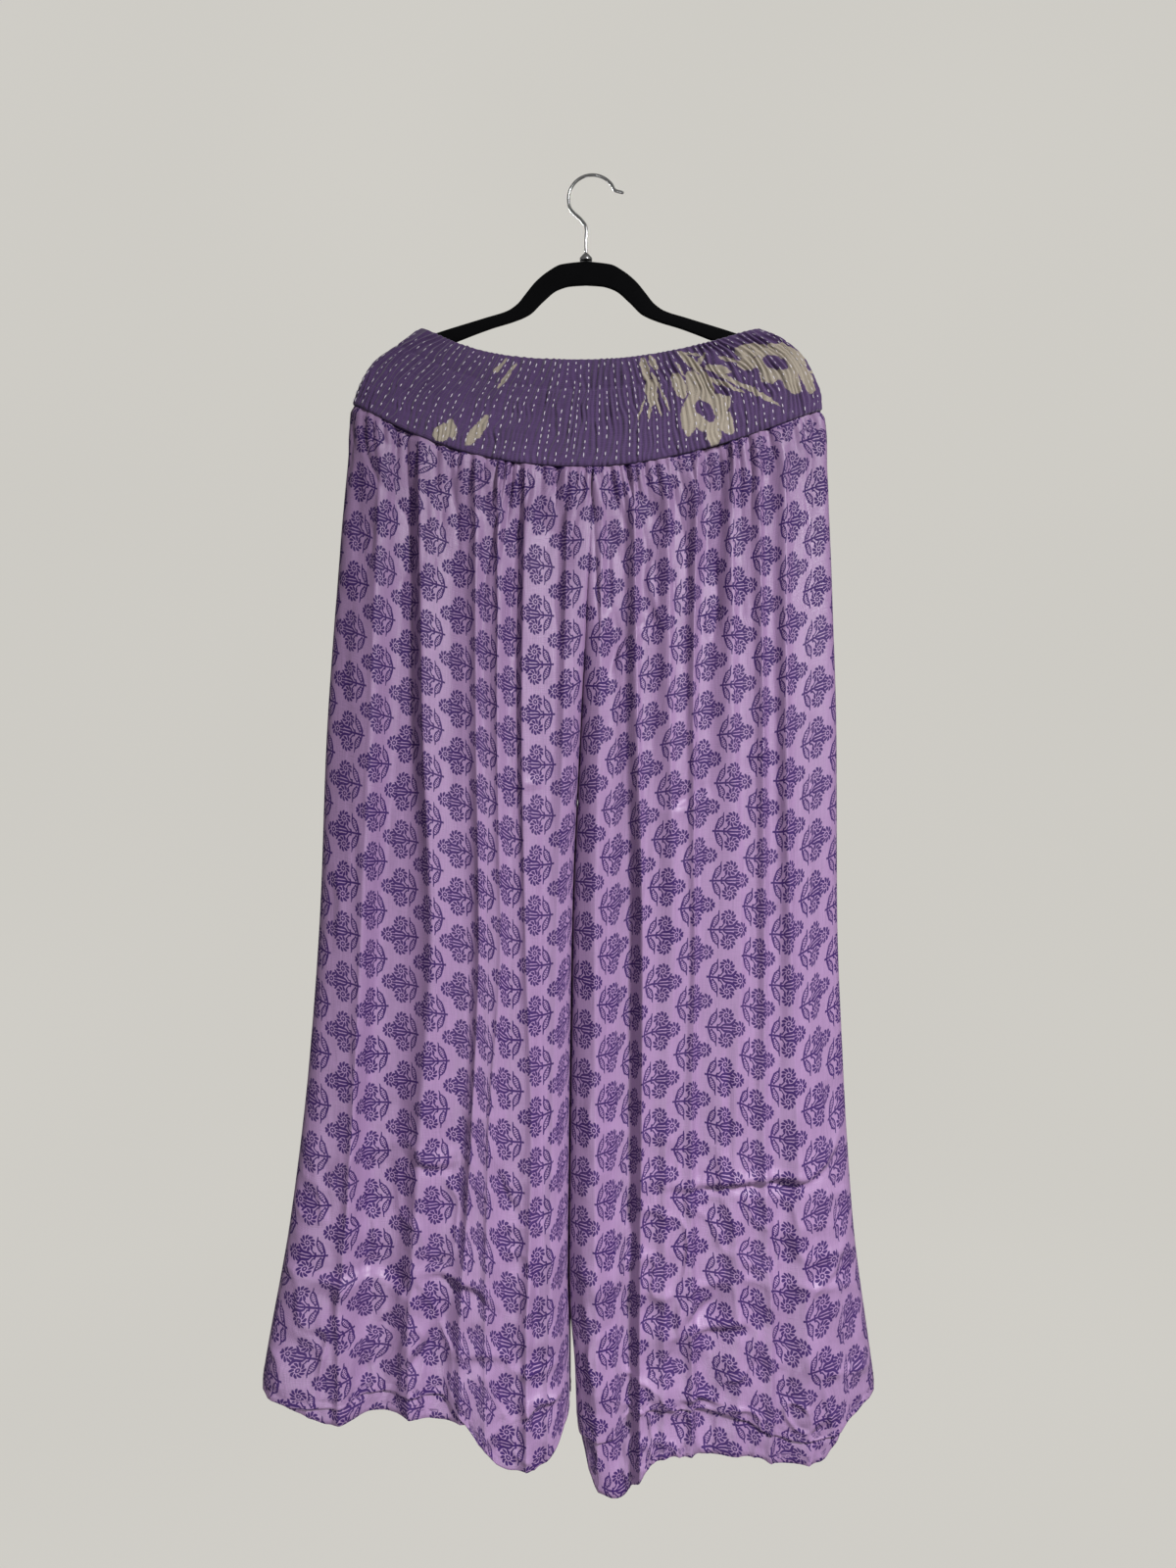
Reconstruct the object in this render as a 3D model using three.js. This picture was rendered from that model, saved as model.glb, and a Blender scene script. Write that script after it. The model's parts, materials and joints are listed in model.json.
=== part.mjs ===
// Wide two-layer silk trousers that hang by their shirred cotton waistband on a flocked hanger.
// Sizes are in millimetres: +X is right, +Z is up and the front faces -Y. The origin is the top of the
// hook's inside, where the hanger hangs, and "down" is a distance below it.
import * as THREE from "three";

// Driving sizes.
const SILK_WALL = 1.8; // the outer silk layer
const INNER_WALL = 1.5; // the inner silk layer
const LAYER_GAP = 0.5; // between the two silk layers
const BAND_WALL = 1.4; // the waistband under its pleats
const SEAM_GAP = 0.3; // between two pieces at a seam
const WAIST_GAP = 0.5; // between the waistband and the gathers under it
const BAND_PLEATS = 140; // round the whole waistband
const FOLD_STEPS = 3; // mesh columns from a fold's ridge to its valley
const ROUNDNESS = 2.2; // how square the cloth turns at its side folds
const CROTCH_DOWN = 605;
const MIDDLE_AT_WAIST = { down: 286, x: 5 };
const MIDDLE_AT_CROTCH = { down: CROTCH_DOWN, x: -11 };
const HANGER_CENTRE_X = -3;
const HANGER_THICKNESS = 5;
const HANGER_BEVEL = 1.2;
const WIRE_RADIUS = 1.5;
const WIRE_SIDES = 10;
const HOOK_RADIUS = 23.3; // to the middle of the wire
const HOOK_CENTRE_X = 3.3;

// The waistband's rows, from its top edge, 0, to the waist seam, 1. Left and right are its side folds,
// front and back are how far each side stands off the middle, and shoulder is how wide a fold turns.
const BAND_ROWS = [
  { row: 0, left: -161.5, leftDown: 148.5, right: 166, rightDown: 149, middleDown: 181.5 },
  { row: 0.25, left: -183.5, leftDown: 163, right: 188, rightDown: 160, middleDown: 208 },
  { row: 0.5, left: -206, leftDown: 180.5, right: 208, rightDown: 178.5, middleDown: 234 },
  { row: 0.75, left: -219.5, leftDown: 201, right: 219.5, rightDown: 203, middleDown: 260.5 },
  { row: 1, left: -228, leftDown: 222.5, right: 224, rightDown: 229, middleDown: 286.5 },
];
const BAND_FORM = [
  { row: 0, front: 11, back: 10, shoulder: 26, leftSag: 3, rightSag: 1.8, pleat: 1.9 },
  { row: 0.25, front: 13, back: 12, shoulder: 32, leftSag: 2.8, rightSag: 1.8, pleat: 1.9 },
  { row: 1, front: 20, back: 18, shoulder: 50, leftSag: 2.3, rightSag: 1.7, pleat: 1.5 },
];
const BAND_MESH_ROWS = [0, 0.12, 0.27, 0.5, 0.75, 1];
const BAND_INSIDE_ROWS = [0, 0.35, 0.7, 1];

// The outline from the front: how far out the side folds are at each height.
const SIDES = [
  { down: 222, left: -228, right: 222.5 },
  { down: 285, left: -234, right: 230 },
  { down: 399, left: -244, right: 235.5 },
  { down: 551, left: -254.5, right: 240 },
  { down: 703, left: -260, right: 240.5 },
  { down: 855, left: -271, right: 246 },
  { down: 1007, left: -289, right: 255.5 },
  { down: 1149, left: -314, right: 274 },
  { down: 1190, left: -320, right: 279.5 },
];

// Where each leg's inner edge is below the crotch.
const INNER_EDGES = [
  { down: CROTCH_DOWN, left: -11.3, right: -10.7 },
  { down: 683, left: -17, right: -12 },
  { down: 777, left: -20, right: -13 },
  { down: 965, left: -21.7, right: -16 },
  { down: 1059, left: -21.7, right: -17.5 },
  { down: 1153, left: -21.7, right: -10.5 },
  { down: 1204, left: -21.5, right: -8.5 },
  { down: 1245, left: -21.5, right: -4 },
  { down: 1272, left: -21.5, right: 5 },
];

// How far the legs stand off the middle, from the waist seam, 0, to the hem, 1.
const LEG_FORM = [
  { along: 0, front: 20, back: 18, shoulder: 50, innerShoulder: 45 },
  { along: 0.1, front: 24, back: 21, shoulder: 54, innerShoulder: 45 },
  { along: 0.4, front: 31, back: 26, shoulder: 60, innerShoulder: 45 },
  { along: 1, front: 36, back: 29, shoulder: 60, innerShoulder: 42 },
];
const LEG_MESH_ROWS = [0, 0.04, 0.12, 0.22, 0.35, 0.5, 0.66, 0.82, 0.92, 1];
const CROTCH_ROW = 0.35;
const INNER_LAYER_FROM = 0.5;

// The long folds, from each side fold to the middle. Each has a valley, then a ridge, both as X at the
// five heights of FOLD_DOWN, and the valley's depth there.
const FOLD_DOWN = [310, 515, 738, 924, 1100];
const GATHER_AT_SEAM = 0.45; // the share of a fold's depth that it has at the waist seam
const GATHER_OPENS_BY = 0.06; // how far along the leg a fold is at its full depth
const FRONT_LEFT_FOLDS = [
  { valley: [-217, -232, -238, -240, -256], ridge: [-200, -207, -215, -224, -236], depth: [2, 2, 2, 3, 3] },
  {
    valley: [-176, -181, -199, -208, -208],
    ridge: [-162, -158, -149, -160, -170],
    depth: [8, 11, 12, 12, 11],
  },
  { valley: [-127, -129, -121, -126, -149], ridge: [-108, -107, -104, -111, -122], depth: [5, 5, 6, 6, 6] },
  { valley: [-97, -99, -95, -102, -109], ridge: [-87, -87, -84, -95, -98], depth: [4, 3, 1.5, 1.5, 1.5] },
  { valley: [-73, -72, -73, -77, -79], ridge: [-61, -64, -60, -54, -59], depth: [6, 5, 3, 4, 5] },
  { valley: [-33, -38, -42, -44, -49], ridge: [-21, -24, -31, -35, -39], depth: [4, 4, 3, 3, 3] },
];
const FRONT_RIGHT_FOLDS = [
  { valley: [211, 207, 209, 224, 235], ridge: [187, 187, 191, 197, 207], depth: [4, 4, 4, 3, 3] },
  { valley: [173, 176, 178, 179, 183], ridge: [162, 165, 166, 166, 172], depth: [4, 5, 4, 4, 4] },
  { valley: [152, 155, 157, 154, 162], ridge: [137, 137, 144, 138, 141], depth: [3, 3, 3, 1.5, 2] },
  { valley: [125, 110, 108, 107, 109], ridge: [103, 99, 100, 97, 97], depth: [9, 5, 3, 4, 5] },
  { valley: [92, 91, 93, 87, 87], ridge: [76, 77, 81, 73, 71], depth: [4, 3, 2, 2, 2] },
  { valley: [59, 59, 62, 62, 61], ridge: [43, 46, 51, 50, 48], depth: [4, 4, 2, 2, 2] },
  { valley: [32, 33, 38, 38, 38], ridge: [13, 10, 6, 6, 8], depth: [5, 6, 12, 12, 10] },
];
const BACK_LEFT_FOLDS = [
  { valley: [-205, -214, -222, -236, -252], ridge: [-186, -192, -196, -212, -228], depth: [4, 4, 5, 5, 5] },
  { valley: [-164, -168, -170, -186, -201], ridge: [-146, -150, -158, -163, -172], depth: [6, 7, 6, 7, 8] },
  { valley: [-125, -127, -131, -140, -146], ridge: [-108, -112, -110, -117, -122], depth: [5, 5, 4, 4, 5] },
  { valley: [-88, -92, -93, -96, -100], ridge: [-70, -73, -78, -78, -80], depth: [5, 6, 7, 8, 7] },
  { valley: [-50, -53, -59, -58, -62], ridge: [-30, -33, -42, -40, -42], depth: [4, 5, 4, 4, 4] },
];
const BACK_RIGHT_FOLDS = [
  { valley: [205, 211, 214, 222, 240], ridge: [184, 190, 195, 200, 214], depth: [4, 5, 5, 4, 5] },
  { valley: [160, 163, 171, 176, 186], ridge: [144, 145, 148, 155, 166], depth: [6, 8, 8, 7, 7] },
  { valley: [122, 126, 129, 133, 138], ridge: [105, 108, 107, 112, 118], depth: [5, 4, 4, 5, 4] },
  { valley: [84, 86, 90, 93, 94], ridge: [66, 68, 73, 74, 76], depth: [5, 6, 6, 5, 6] },
  { valley: [45, 47, 52, 50, 54], ridge: [26, 25, 30, 28, 32], depth: [4, 5, 6, 6, 5] },
];

// How far down each hem is, by X from left to right.
const FRONT_LEFT_HEM = [
  { x: -317, down: 1165 },
  { x: -303, down: 1173 },
  { x: -277, down: 1178 },
  { x: -239, down: 1177 },
  { x: -210, down: 1168 },
  { x: -141, down: 1167 },
  { x: -125, down: 1182 },
  { x: -100, down: 1214 },
  { x: -84, down: 1234 },
  { x: -72, down: 1237 },
  { x: -47, down: 1235 },
  { x: -34, down: 1224 },
  { x: -22, down: 1192 },
];
const FRONT_RIGHT_HEM = [
  { x: -9, down: 1211 },
  { x: 20, down: 1213 },
  { x: 36, down: 1190 },
  { x: 59, down: 1178 },
  { x: 85, down: 1178 },
  { x: 144, down: 1187 },
  { x: 165, down: 1198 },
  { x: 195, down: 1209 },
  { x: 236, down: 1202 },
  { x: 248, down: 1188 },
  { x: 277, down: 1167 },
];
const BACK_LEFT_HEM = [
  { x: -317, down: 1165 },
  { x: -270, down: 1172 },
  { x: -190, down: 1167 },
  { x: -100, down: 1171 },
  { x: -22, down: 1178 },
];
const BACK_RIGHT_HEM = [
  { x: -9, down: 1190 },
  { x: 70, down: 1176 },
  { x: 180, down: 1182 },
  { x: 277, down: 1167 },
];
const INNER_LEFT_HEM = [
  { x: -317, down: 1165 },
  { x: -303, down: 1173 },
  { x: -269, down: 1185 },
  { x: -246, down: 1193 },
  { x: -193, down: 1186 },
  { x: -127, down: 1192 },
  { x: -22, down: 1199 },
];
const INNER_RIGHT_HEM = [
  { x: -6, down: 1218 },
  { x: 0, down: 1245 },
  { x: 10, down: 1267 },
  { x: 18, down: 1271 },
  { x: 26, down: 1268 },
  { x: 43, down: 1253 },
  { x: 63, down: 1226 },
  { x: 85, down: 1222 },
  { x: 155, down: 1224 },
  { x: 180, down: 1231 },
  { x: 217, down: 1229 },
  { x: 230, down: 1215 },
  { x: 248, down: 1188 },
  { x: 277, down: 1167 },
];

// Half of the hanger's outline, from its middle to the tip of an arm.
const HANGER_TOP = [
  { out: 0, down: 82.5 },
  { out: 24, down: 85.5 },
  { out: 37, down: 92.5 },
  { out: 48.5, down: 102 },
  { out: 58, down: 113.5 },
  { out: 66, down: 123.5 },
  { out: 76, down: 130.5 },
  { out: 98, down: 137.5 },
  { out: 150, down: 154 },
  { out: 186, down: 169 },
];
const HANGER_TIP = [
  { out: 191, down: 174 },
  { out: 191, down: 181 },
];
const HANGER_BOTTOM = [
  { out: 187, down: 185 },
  { out: 124.5, down: 160 },
  { out: 91.5, down: 147.5 },
  { out: 69, down: 140.5 },
  { out: 54.5, down: 134 },
  { out: 42, down: 122 },
  { out: 28, down: 110.5 },
  { out: 15, down: 106.5 },
  { out: 0, down: 105.5 },
];
const COLLAR = { topDown: 75.4, bottomDown: 82.1, topRadius: 2.6, bottomRadius: 6 };
const STEM_BEND_DOWN = 48;
const HOOK_END = { x: 32, down: 15.5 };

const clamp = (value, low, high) => Math.min(Math.max(value, low), high);
const mix = (a, b, share) => a + (b - a) * share;
const column = (table, name) => table.map((row) => row[name]);

// A smooth curve through rising places and their values, which never overshoots them.
function smooth(places, values, at) {
  const last = places.length - 1;
  const rise = (n) => (values[n + 1] - values[n]) / (places[n + 1] - places[n]);
  const slope = (n) => {
    if (n === 0) return rise(0);
    if (n === last) return rise(last - 1);
    const before = rise(n - 1);
    const after = rise(n);
    return before * after <= 0 ? 0 : (2 * before * after) / (before + after);
  };
  if (at <= places[0]) return values[0];
  if (at >= places[last]) return values[last];
  let n = 0;
  while (at > places[n + 1]) n += 1;
  const span = places[n + 1] - places[n];
  const w = (at - places[n]) / span;
  const start = (1 + 2 * w) * (1 - w) ** 2 * values[n] + w * (1 - w) ** 2 * span * slope(n);
  return start + w * w * (3 - 2 * w) * values[n + 1] + w * w * (w - 1) * span * slope(n + 1);
}

const lookUp = (table, key, at, name) => smooth(column(table, key), column(table, name), at);

// 0 at a side fold and 1 a shoulder's width in from it, turning as the cloth does.
function turned(distance, shoulder) {
  const left = 1 - clamp(distance / shoulder, 0, 1);
  return (1 - left ** ROUNDNESS) ** (1 / ROUNDNESS);
}

// How far down the waistband's curved rows are at an X. The last row is the waist seam.
function bandDown(row, x) {
  const side = x < 0 ? "left" : "right";
  const reach = clamp(x / lookUp(BAND_ROWS, "row", row, side), 0, 1);
  const sag = reach ** lookUp(BAND_FORM, "row", row, `${side}Sag`);
  const [middle, end] = ["middleDown", `${side}Down`].map((name) => lookUp(BAND_ROWS, "row", row, name));
  return mix(middle, end, sag);
}

// Triangles between two rows of vertices with the same number in each. Both faces of a wall are split
// along the same diagonals, so layers that follow each other stay apart.
function strip(upper, lower, triangles, inside = false) {
  for (let i = 0; i + 1 < upper.length; i += 1) {
    const [a, b, c, d] = [upper[i], lower[i], lower[i + 1], upper[i + 1]];
    if (inside) triangles.push([a, c, b], [a, d, c]);
    else triangles.push([a, b, c], [a, c, d]);
  }
}

// A mesh from points and triangles, with its faces turned outwards.
function solid(name, points, triangles, material) {
  const at = triangles.map((corners) => corners.map((n) => new THREE.Vector3(...points[n])));
  const volume = at.reduce((sum, [a, b, c]) => sum + a.dot(b.clone().cross(c)) / 6, 0);
  const faces = volume < 0 ? triangles.map(([a, b, c]) => [a, c, b]) : triangles;
  const geometry = new THREE.BufferGeometry();
  geometry.setAttribute("position", new THREE.Float32BufferAttribute(points.flat(), 3));
  geometry.setIndex(faces.flat());
  return named(name, geometry, material);
}

function named(name, geometry, material) {
  geometry.computeVertexNormals();
  const mesh = new THREE.Mesh(geometry, material);
  mesh.name = name;
  return mesh;
}

// Numbers the points of rows that follow each other, from a first number on.
function numbered(rows, first) {
  let next = first;
  return rows.map((row) => row.map(() => next++));
}

// A sheet with thickness: the same rows of points outside and inside, closed along its four edges.
function sheetSolid(name, outside, inside, material) {
  const points = [...outside.flat(), ...inside.flat()];
  const outer = numbered(outside, 0);
  const inner = numbered(inside, outside.flat().length);
  const triangles = [];
  for (let r = 0; r + 1 < outer.length; r += 1) {
    strip(outer[r], outer[r + 1], triangles);
    strip(inner[r], inner[r + 1], triangles, true);
  }
  strip(inner[0], outer[0], triangles);
  strip(outer.at(-1), inner.at(-1), triangles);
  for (const end of [0, -1]) {
    const outerEnd = outer.map((row) => row.at(end));
    const innerEnd = inner.map((row) => row.at(end));
    if (end === 0) strip(outerEnd, innerEnd, triangles);
    else strip(innerEnd, outerEnd, triangles);
  }
  return solid(name, points, triangles, material);
}

// A tube with thickness, open at both ends. The outside has one or two columns to each inside one.
function tubeSolid(name, outside, inside, material) {
  const points = [...outside.flat(), ...inside.flat()];
  const round = (row) => [...row, row[0]];
  const outer = numbered(outside, 0).map(round);
  const inner = numbered(inside, outside.flat().length).map(round);
  const ratio = (outer[0].length - 1) / (inner[0].length - 1);
  const triangles = [];
  outer.slice(1).forEach((row, r) => strip(outer[r], row, triangles));
  inner.slice(1).forEach((row, r) => strip(inner[r], row, triangles, true));
  const rim = (outerRow, innerRow, turn) => {
    for (let i = 0; i + 1 < innerRow.length; i += 1) {
      const near = outerRow.slice(i * ratio, (i + 1) * ratio + 1);
      const fan = [];
      for (let n = 0; n + 2 < near.length; n += 1) fan.push([near[n], near[n + 1], innerRow[i]]);
      fan.push([near.at(-2), near.at(-1), innerRow[i + 1]], [near.at(-2), innerRow[i + 1], innerRow[i]]);
      triangles.push(...fan.map(([a, b, c]) => (turn ? [a, c, b] : [a, b, c])));
    }
  };
  rim(outer[0], inner[0], false);
  rim(outer.at(-1), inner.at(-1), true);
  return solid(name, points, triangles, material);
}

// Horizontal directions that point out of a row of points. Out is on the right of the row's way for
// sign 1, and the row may close on itself.
function outwards(row, sign, closes) {
  const count = row.length;
  return row.map((point, i) => {
    const before = row[closes ? (i + count - 1) % count : Math.max(i - 1, 0)];
    const after = row[closes ? (i + 1) % count : Math.min(i + 1, count - 1)];
    const [dx, dy] = [after[0] - before[0], after[1] - before[1]];
    const length = Math.hypot(dx, dy);
    return [(sign * dy) / length, (-sign * dx) / length];
  });
}

const moved = ([x, y, z], way, distance) => [x + way[0] * distance, y + way[1] * distance, z];

// One side of a waistband row, finely sampled from its left fold to its right one.
function bandSide(row, face) {
  const samples = 480;
  const left = lookUp(BAND_ROWS, "row", row, "left");
  const right = lookUp(BAND_ROWS, "row", row, "right");
  const depth = lookUp(BAND_FORM, "row", row, face < 0 ? "front" : "back");
  const shoulder = lookUp(BAND_FORM, "row", row, "shoulder");
  const points = [];
  for (let i = 0; i <= samples; i += 1) {
    const x = mix(left, right, (1 - Math.cos((Math.PI * i) / samples)) / 2);
    const y = face * depth * turned(Math.min(x - left, right - x), shoulder);
    points.push([x, y, -bandDown(row, x)]);
  }
  return points;
}

// Points spaced evenly along a finely sampled line, without its last one.
function evenly(line, count) {
  const length = [0];
  for (let i = 1; i < line.length; i += 1) {
    length.push(length[i - 1] + Math.hypot(...line[i].map((value, k) => value - line[i - 1][k])));
  }
  let n = 0;
  return Array.from({ length: count }, (_, i) => {
    const at = (length.at(-1) * i) / count;
    while (length[n + 1] < at) n += 1;
    const share = (at - length[n]) / (length[n + 1] - length[n]);
    return line[n].map((value, k) => mix(value, line[n + 1][k], share));
  });
}

// A row round the waistband, with a number of columns on each side.
function bandRow(row, columnsPerSide, outOf) {
  const front = evenly(bandSide(row, -1), columnsPerSide);
  const back = evenly(bandSide(row, 1).reverse(), columnsPerSide);
  const ring = [...front, ...back];
  const ways = outwards(ring, 1, true);
  const rise = row === 1 ? WAIST_GAP / 2 : 0;
  return ring.map(([x, y, z], i) => moved([x, y, z + rise], ways[i], outOf(i)));
}

function waistband(material) {
  const ridges = BAND_PLEATS / 2;
  const outside = BAND_MESH_ROWS.map((row) => {
    const pleat = lookUp(BAND_FORM, "row", row, "pleat");
    return bandRow(row, 2 * ridges, (i) => (i % 2 ? 0 : pleat));
  });
  const inside = BAND_INSIDE_ROWS.map((row) => bandRow(row, ridges, () => -BAND_WALL));
  return tubeSolid("waistband", outside, inside, material);
}

// The legs' four outer panels. Face is -1 in front and 1 behind.
const PANELS = [
  { name: "leg_front_left", side: "left", face: -1, folds: FRONT_LEFT_FOLDS, hem: FRONT_LEFT_HEM },
  { name: "leg_front_right", side: "right", face: -1, folds: FRONT_RIGHT_FOLDS, hem: FRONT_RIGHT_HEM },
  { name: "leg_back_left", side: "left", face: 1, folds: BACK_LEFT_FOLDS, hem: BACK_LEFT_HEM },
  { name: "leg_back_right", side: "right", face: 1, folds: BACK_RIGHT_FOLDS, hem: BACK_RIGHT_HEM },
];

// The inner end of a panel: the middle seam above the crotch, and the leg's inner edge below it.
function innerEnd(side, down) {
  if (down >= CROTCH_DOWN) return lookUp(INNER_EDGES, "down", down, side);
  const share = (down - MIDDLE_AT_WAIST.down) / (MIDDLE_AT_CROTCH.down - MIDDLE_AT_WAIST.down);
  const middle = mix(MIDDLE_AT_WAIST.x, MIDDLE_AT_CROTCH.x, clamp(share, 0, 1));
  return middle + (side === "left" ? -SEAM_GAP : SEAM_GAP);
}

// X at each end and at each ridge and valley of a panel, from its side fold to its inner end.
function stations(panel, down) {
  const folds = panel.folds.flatMap(({ valley, ridge }) => [valley, ridge]);
  return [
    lookUp(SIDES, "down", down, panel.side),
    ...folds.map((places) => smooth(FOLD_DOWN, places, down)),
    innerEnd(panel.side, down),
  ];
}

// A panel's mesh columns: the slope each is on, how far along it, and how much of the valley it has.
function panelColumns(panel) {
  const slopes = panel.folds.length * 2 + 1;
  const columns = [];
  for (let slope = 0; slope < slopes; slope += 1) {
    for (let step = 0; step < FOLD_STEPS; step += 1) {
      const share = step / FOLD_STEPS;
      const intoValley = slope % 2 === 0 ? share : 1 - share;
      const sunk = slope === slopes - 1 ? 0 : (1 - Math.cos(Math.PI * intoValley)) / 2;
      columns.push({ slope, share, sunk, fold: Math.min(slope >> 1, panel.folds.length - 1) });
    }
  }
  columns.push({ slope: slopes - 1, share: 1, sunk: 0, fold: panel.folds.length - 1 });
  return columns;
}

function columnX(panel, { slope, share }, down) {
  const places = stations(panel, down);
  return mix(places[slope], places[slope + 1], share);
}

// A height that agrees with the X found there, after a few tries.
function settled(down, next) {
  let found = down;
  for (let tries = 0; tries < 6; tries += 1) found = next(found);
  return found;
}

// A panel's smooth surface at one row: points before the folds sink them, ways out and fold depths.
function panelRow(panel, along, hem) {
  const { side, face } = panel;
  const form = (name) => lookUp(LEG_FORM, "along", along, name);
  const depth = form(face < 0 ? "front" : "back");
  const toCrotch = clamp(along / CROTCH_ROW, 0, 1);
  const closed = toCrotch ** 2 * (3 - 2 * toCrotch);
  const gather = mix(GATHER_AT_SEAM, 1, clamp(along / GATHER_OPENS_BY, 0, 1));
  const columns = panelColumns(panel);
  const base = columns.map((place) => {
    const seam = settled(MIDDLE_AT_WAIST.down, (down) => bandDown(1, columnX(panel, place, down)));
    const end = settled(hem[0].down, (down) => lookUp(hem, "x", columnX(panel, place, down), "down"));
    const down = mix(seam + WAIST_GAP / 2, end, along);
    const x = columnX(panel, place, down);
    const outer = turned(Math.abs(x - lookUp(SIDES, "down", down, side)), form("shoulder"));
    const inner = turned(Math.abs(x - innerEnd(side, down)), form("innerShoulder"));
    const y = face * (SEAM_GAP / 2 + depth * outer * (1 - closed * (1 - inner)));
    return [x, y, -down];
  });
  const outAlongX = side === "left" ? -1 : 1;
  const ways = outwards(base, face * outAlongX, false);
  ways[0] = [outAlongX, 0];
  const last = ways.length - 1;
  const across = closed ** 4;
  const way = [mix(ways[last][0], -outAlongX, across), mix(ways[last][1], 0, across)];
  ways[last] = way.map((value) => value / Math.hypot(...way));
  const sinks = columns.map(({ sunk, fold }, i) => {
    return sunk * gather * smooth(FOLD_DOWN, panel.folds[fold].depth, -base[i][2]);
  });
  return { base, ways, sinks };
}

// The row's points, moved in by the folds and by a distance from the outer face of the silk. They run
// on round the leg: in along the front and out along the back.
function silkRow({ face }, { base, ways, sinks }, inBy) {
  const points = base.map((point, i) => moved(point, ways[i], -sinks[i] - inBy));
  return face < 0 ? points : points.reverse();
}

function outerPanel(panel, material) {
  const rows = LEG_MESH_ROWS.map((along) => panelRow(panel, along, panel.hem));
  const outside = rows.map((row) => silkRow(panel, row, 0));
  const inside = rows.map((row) => silkRow(panel, row, SILK_WALL));
  return sheetSolid(panel.name, outside, inside, material);
}

// The inner silk layer of a leg: a tube made from the points of its two panels, moved in.
function innerLeg(side, hem, material) {
  const [front, back] = PANELS.filter((panel) => panel.side === side);
  const ring = (along, inBy) => {
    return [front, back].flatMap((panel) => {
      return silkRow(panel, panelRow(panel, along, along === 1 ? hem : panel.hem), inBy);
    });
  };
  const rows = LEG_MESH_ROWS.filter((along) => along >= INNER_LAYER_FROM);
  const outside = rows.map((along) => ring(along, SILK_WALL + LAYER_GAP));
  const inside = rows.map((along) => ring(along, SILK_WALL + LAYER_GAP + INNER_WALL));
  return tubeSolid(`inner_leg_${side}`, outside, inside, material);
}

// The hanger's flat body: its arched neck and two sloping arms, rounded along the edges.
function hangerBody(material) {
  const at = (sign) => ({ out, down }) => new THREE.Vector2(sign * out, -down);
  const half = (table, sign) => table.map(at(sign));
  const shape = new THREE.Shape();
  const top = [...half(HANGER_TOP, -1).reverse(), ...half(HANGER_TOP.slice(1), 1)];
  const bottom = [...half(HANGER_BOTTOM, 1), ...half(HANGER_BOTTOM.slice(0, -1), -1).reverse()];
  shape.moveTo(top[0].x, top[0].y);
  shape.splineThru(top.slice(1));
  HANGER_TIP.map(at(1)).forEach(({ x, y }) => shape.lineTo(x, y));
  shape.lineTo(bottom[0].x, bottom[0].y);
  shape.splineThru(bottom.slice(1));
  HANGER_TIP.map(at(-1)).reverse().forEach(({ x, y }) => shape.lineTo(x, y));
  const geometry = new THREE.ExtrudeGeometry(shape, {
    curveSegments: 2,
    depth: HANGER_THICKNESS - 2 * HANGER_BEVEL,
    bevelThickness: HANGER_BEVEL,
    bevelSize: HANGER_BEVEL,
    bevelOffset: -HANGER_BEVEL,
    bevelSegments: 1,
  });
  geometry.rotateX(Math.PI / 2);
  geometry.translate(HANGER_CENTRE_X, HANGER_THICKNESS / 2 - HANGER_BEVEL, 0);
  return named("hanger_body", geometry, material);
}

function hangerCollar(material) {
  const { topDown, bottomDown, topRadius, bottomRadius } = COLLAR;
  const ledge = mix(bottomDown, topDown, 0.45);
  const profile = [
    [0, bottomDown],
    [bottomRadius, bottomDown],
    [bottomRadius, ledge],
    [topRadius, topDown],
    [0, topDown],
  ];
  const geometry = new THREE.LatheGeometry(
    profile.map(([radius, down]) => new THREE.Vector2(radius, -down)),
    16,
  );
  geometry.rotateX(Math.PI / 2);
  geometry.translate(HANGER_CENTRE_X, 0, 0);
  return named("hanger_collar", geometry, material);
}

// The wire hook: a stem, a bend to the left, a round crook and a tip turned outwards.
function hangerHook(material) {
  const centreDown = HOOK_RADIUS - WIRE_RADIUS;
  const crook = [];
  for (const degrees of [205, 185, 160, 135, 110, 85, 60, 38, 22]) {
    const turn = THREE.MathUtils.degToRad(degrees);
    const x = HOOK_CENTRE_X + HOOK_RADIUS * Math.cos(turn);
    crook.push(new THREE.Vector3(x, 0, -centreDown + HOOK_RADIUS * Math.sin(turn)));
  }
  const stem = [
    new THREE.Vector3(HANGER_CENTRE_X, 0, -COLLAR.topDown + SEAM_GAP),
    new THREE.Vector3(HANGER_CENTRE_X, 0, -(COLLAR.topDown + STEM_BEND_DOWN) / 2),
    new THREE.Vector3(HANGER_CENTRE_X, 0, -STEM_BEND_DOWN - 1),
    new THREE.Vector3(HANGER_CENTRE_X - 4.5, 0, -STEM_BEND_DOWN + 6),
  ];
  const tip = new THREE.Vector3(HOOK_END.x, 0, -HOOK_END.down);
  const path = new THREE.CatmullRomCurve3([...stem, ...crook, tip], false, "centripetal");
  const section = new THREE.Shape();
  section.absarc(0, 0, WIRE_RADIUS, 0, 2 * Math.PI);
  const geometry = new THREE.ExtrudeGeometry(section, {
    extrudePath: path,
    steps: 36,
    curveSegments: WIRE_SIDES / 2,
    bevelEnabled: false,
  });
  return named("hanger_hook", geometry, material);
}

const silk = () => new THREE.MeshStandardMaterial({ color: 0xa98fbc, roughness: 0.5 });
const cotton = () => new THREE.MeshStandardMaterial({ color: 0x5d4a73, roughness: 0.9 });
const flock = () => new THREE.MeshStandardMaterial({ color: 0x141417, roughness: 1 });
const steel = () => new THREE.MeshStandardMaterial({ color: 0xb9bbbd, roughness: 0.25, metalness: 1 });

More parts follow.
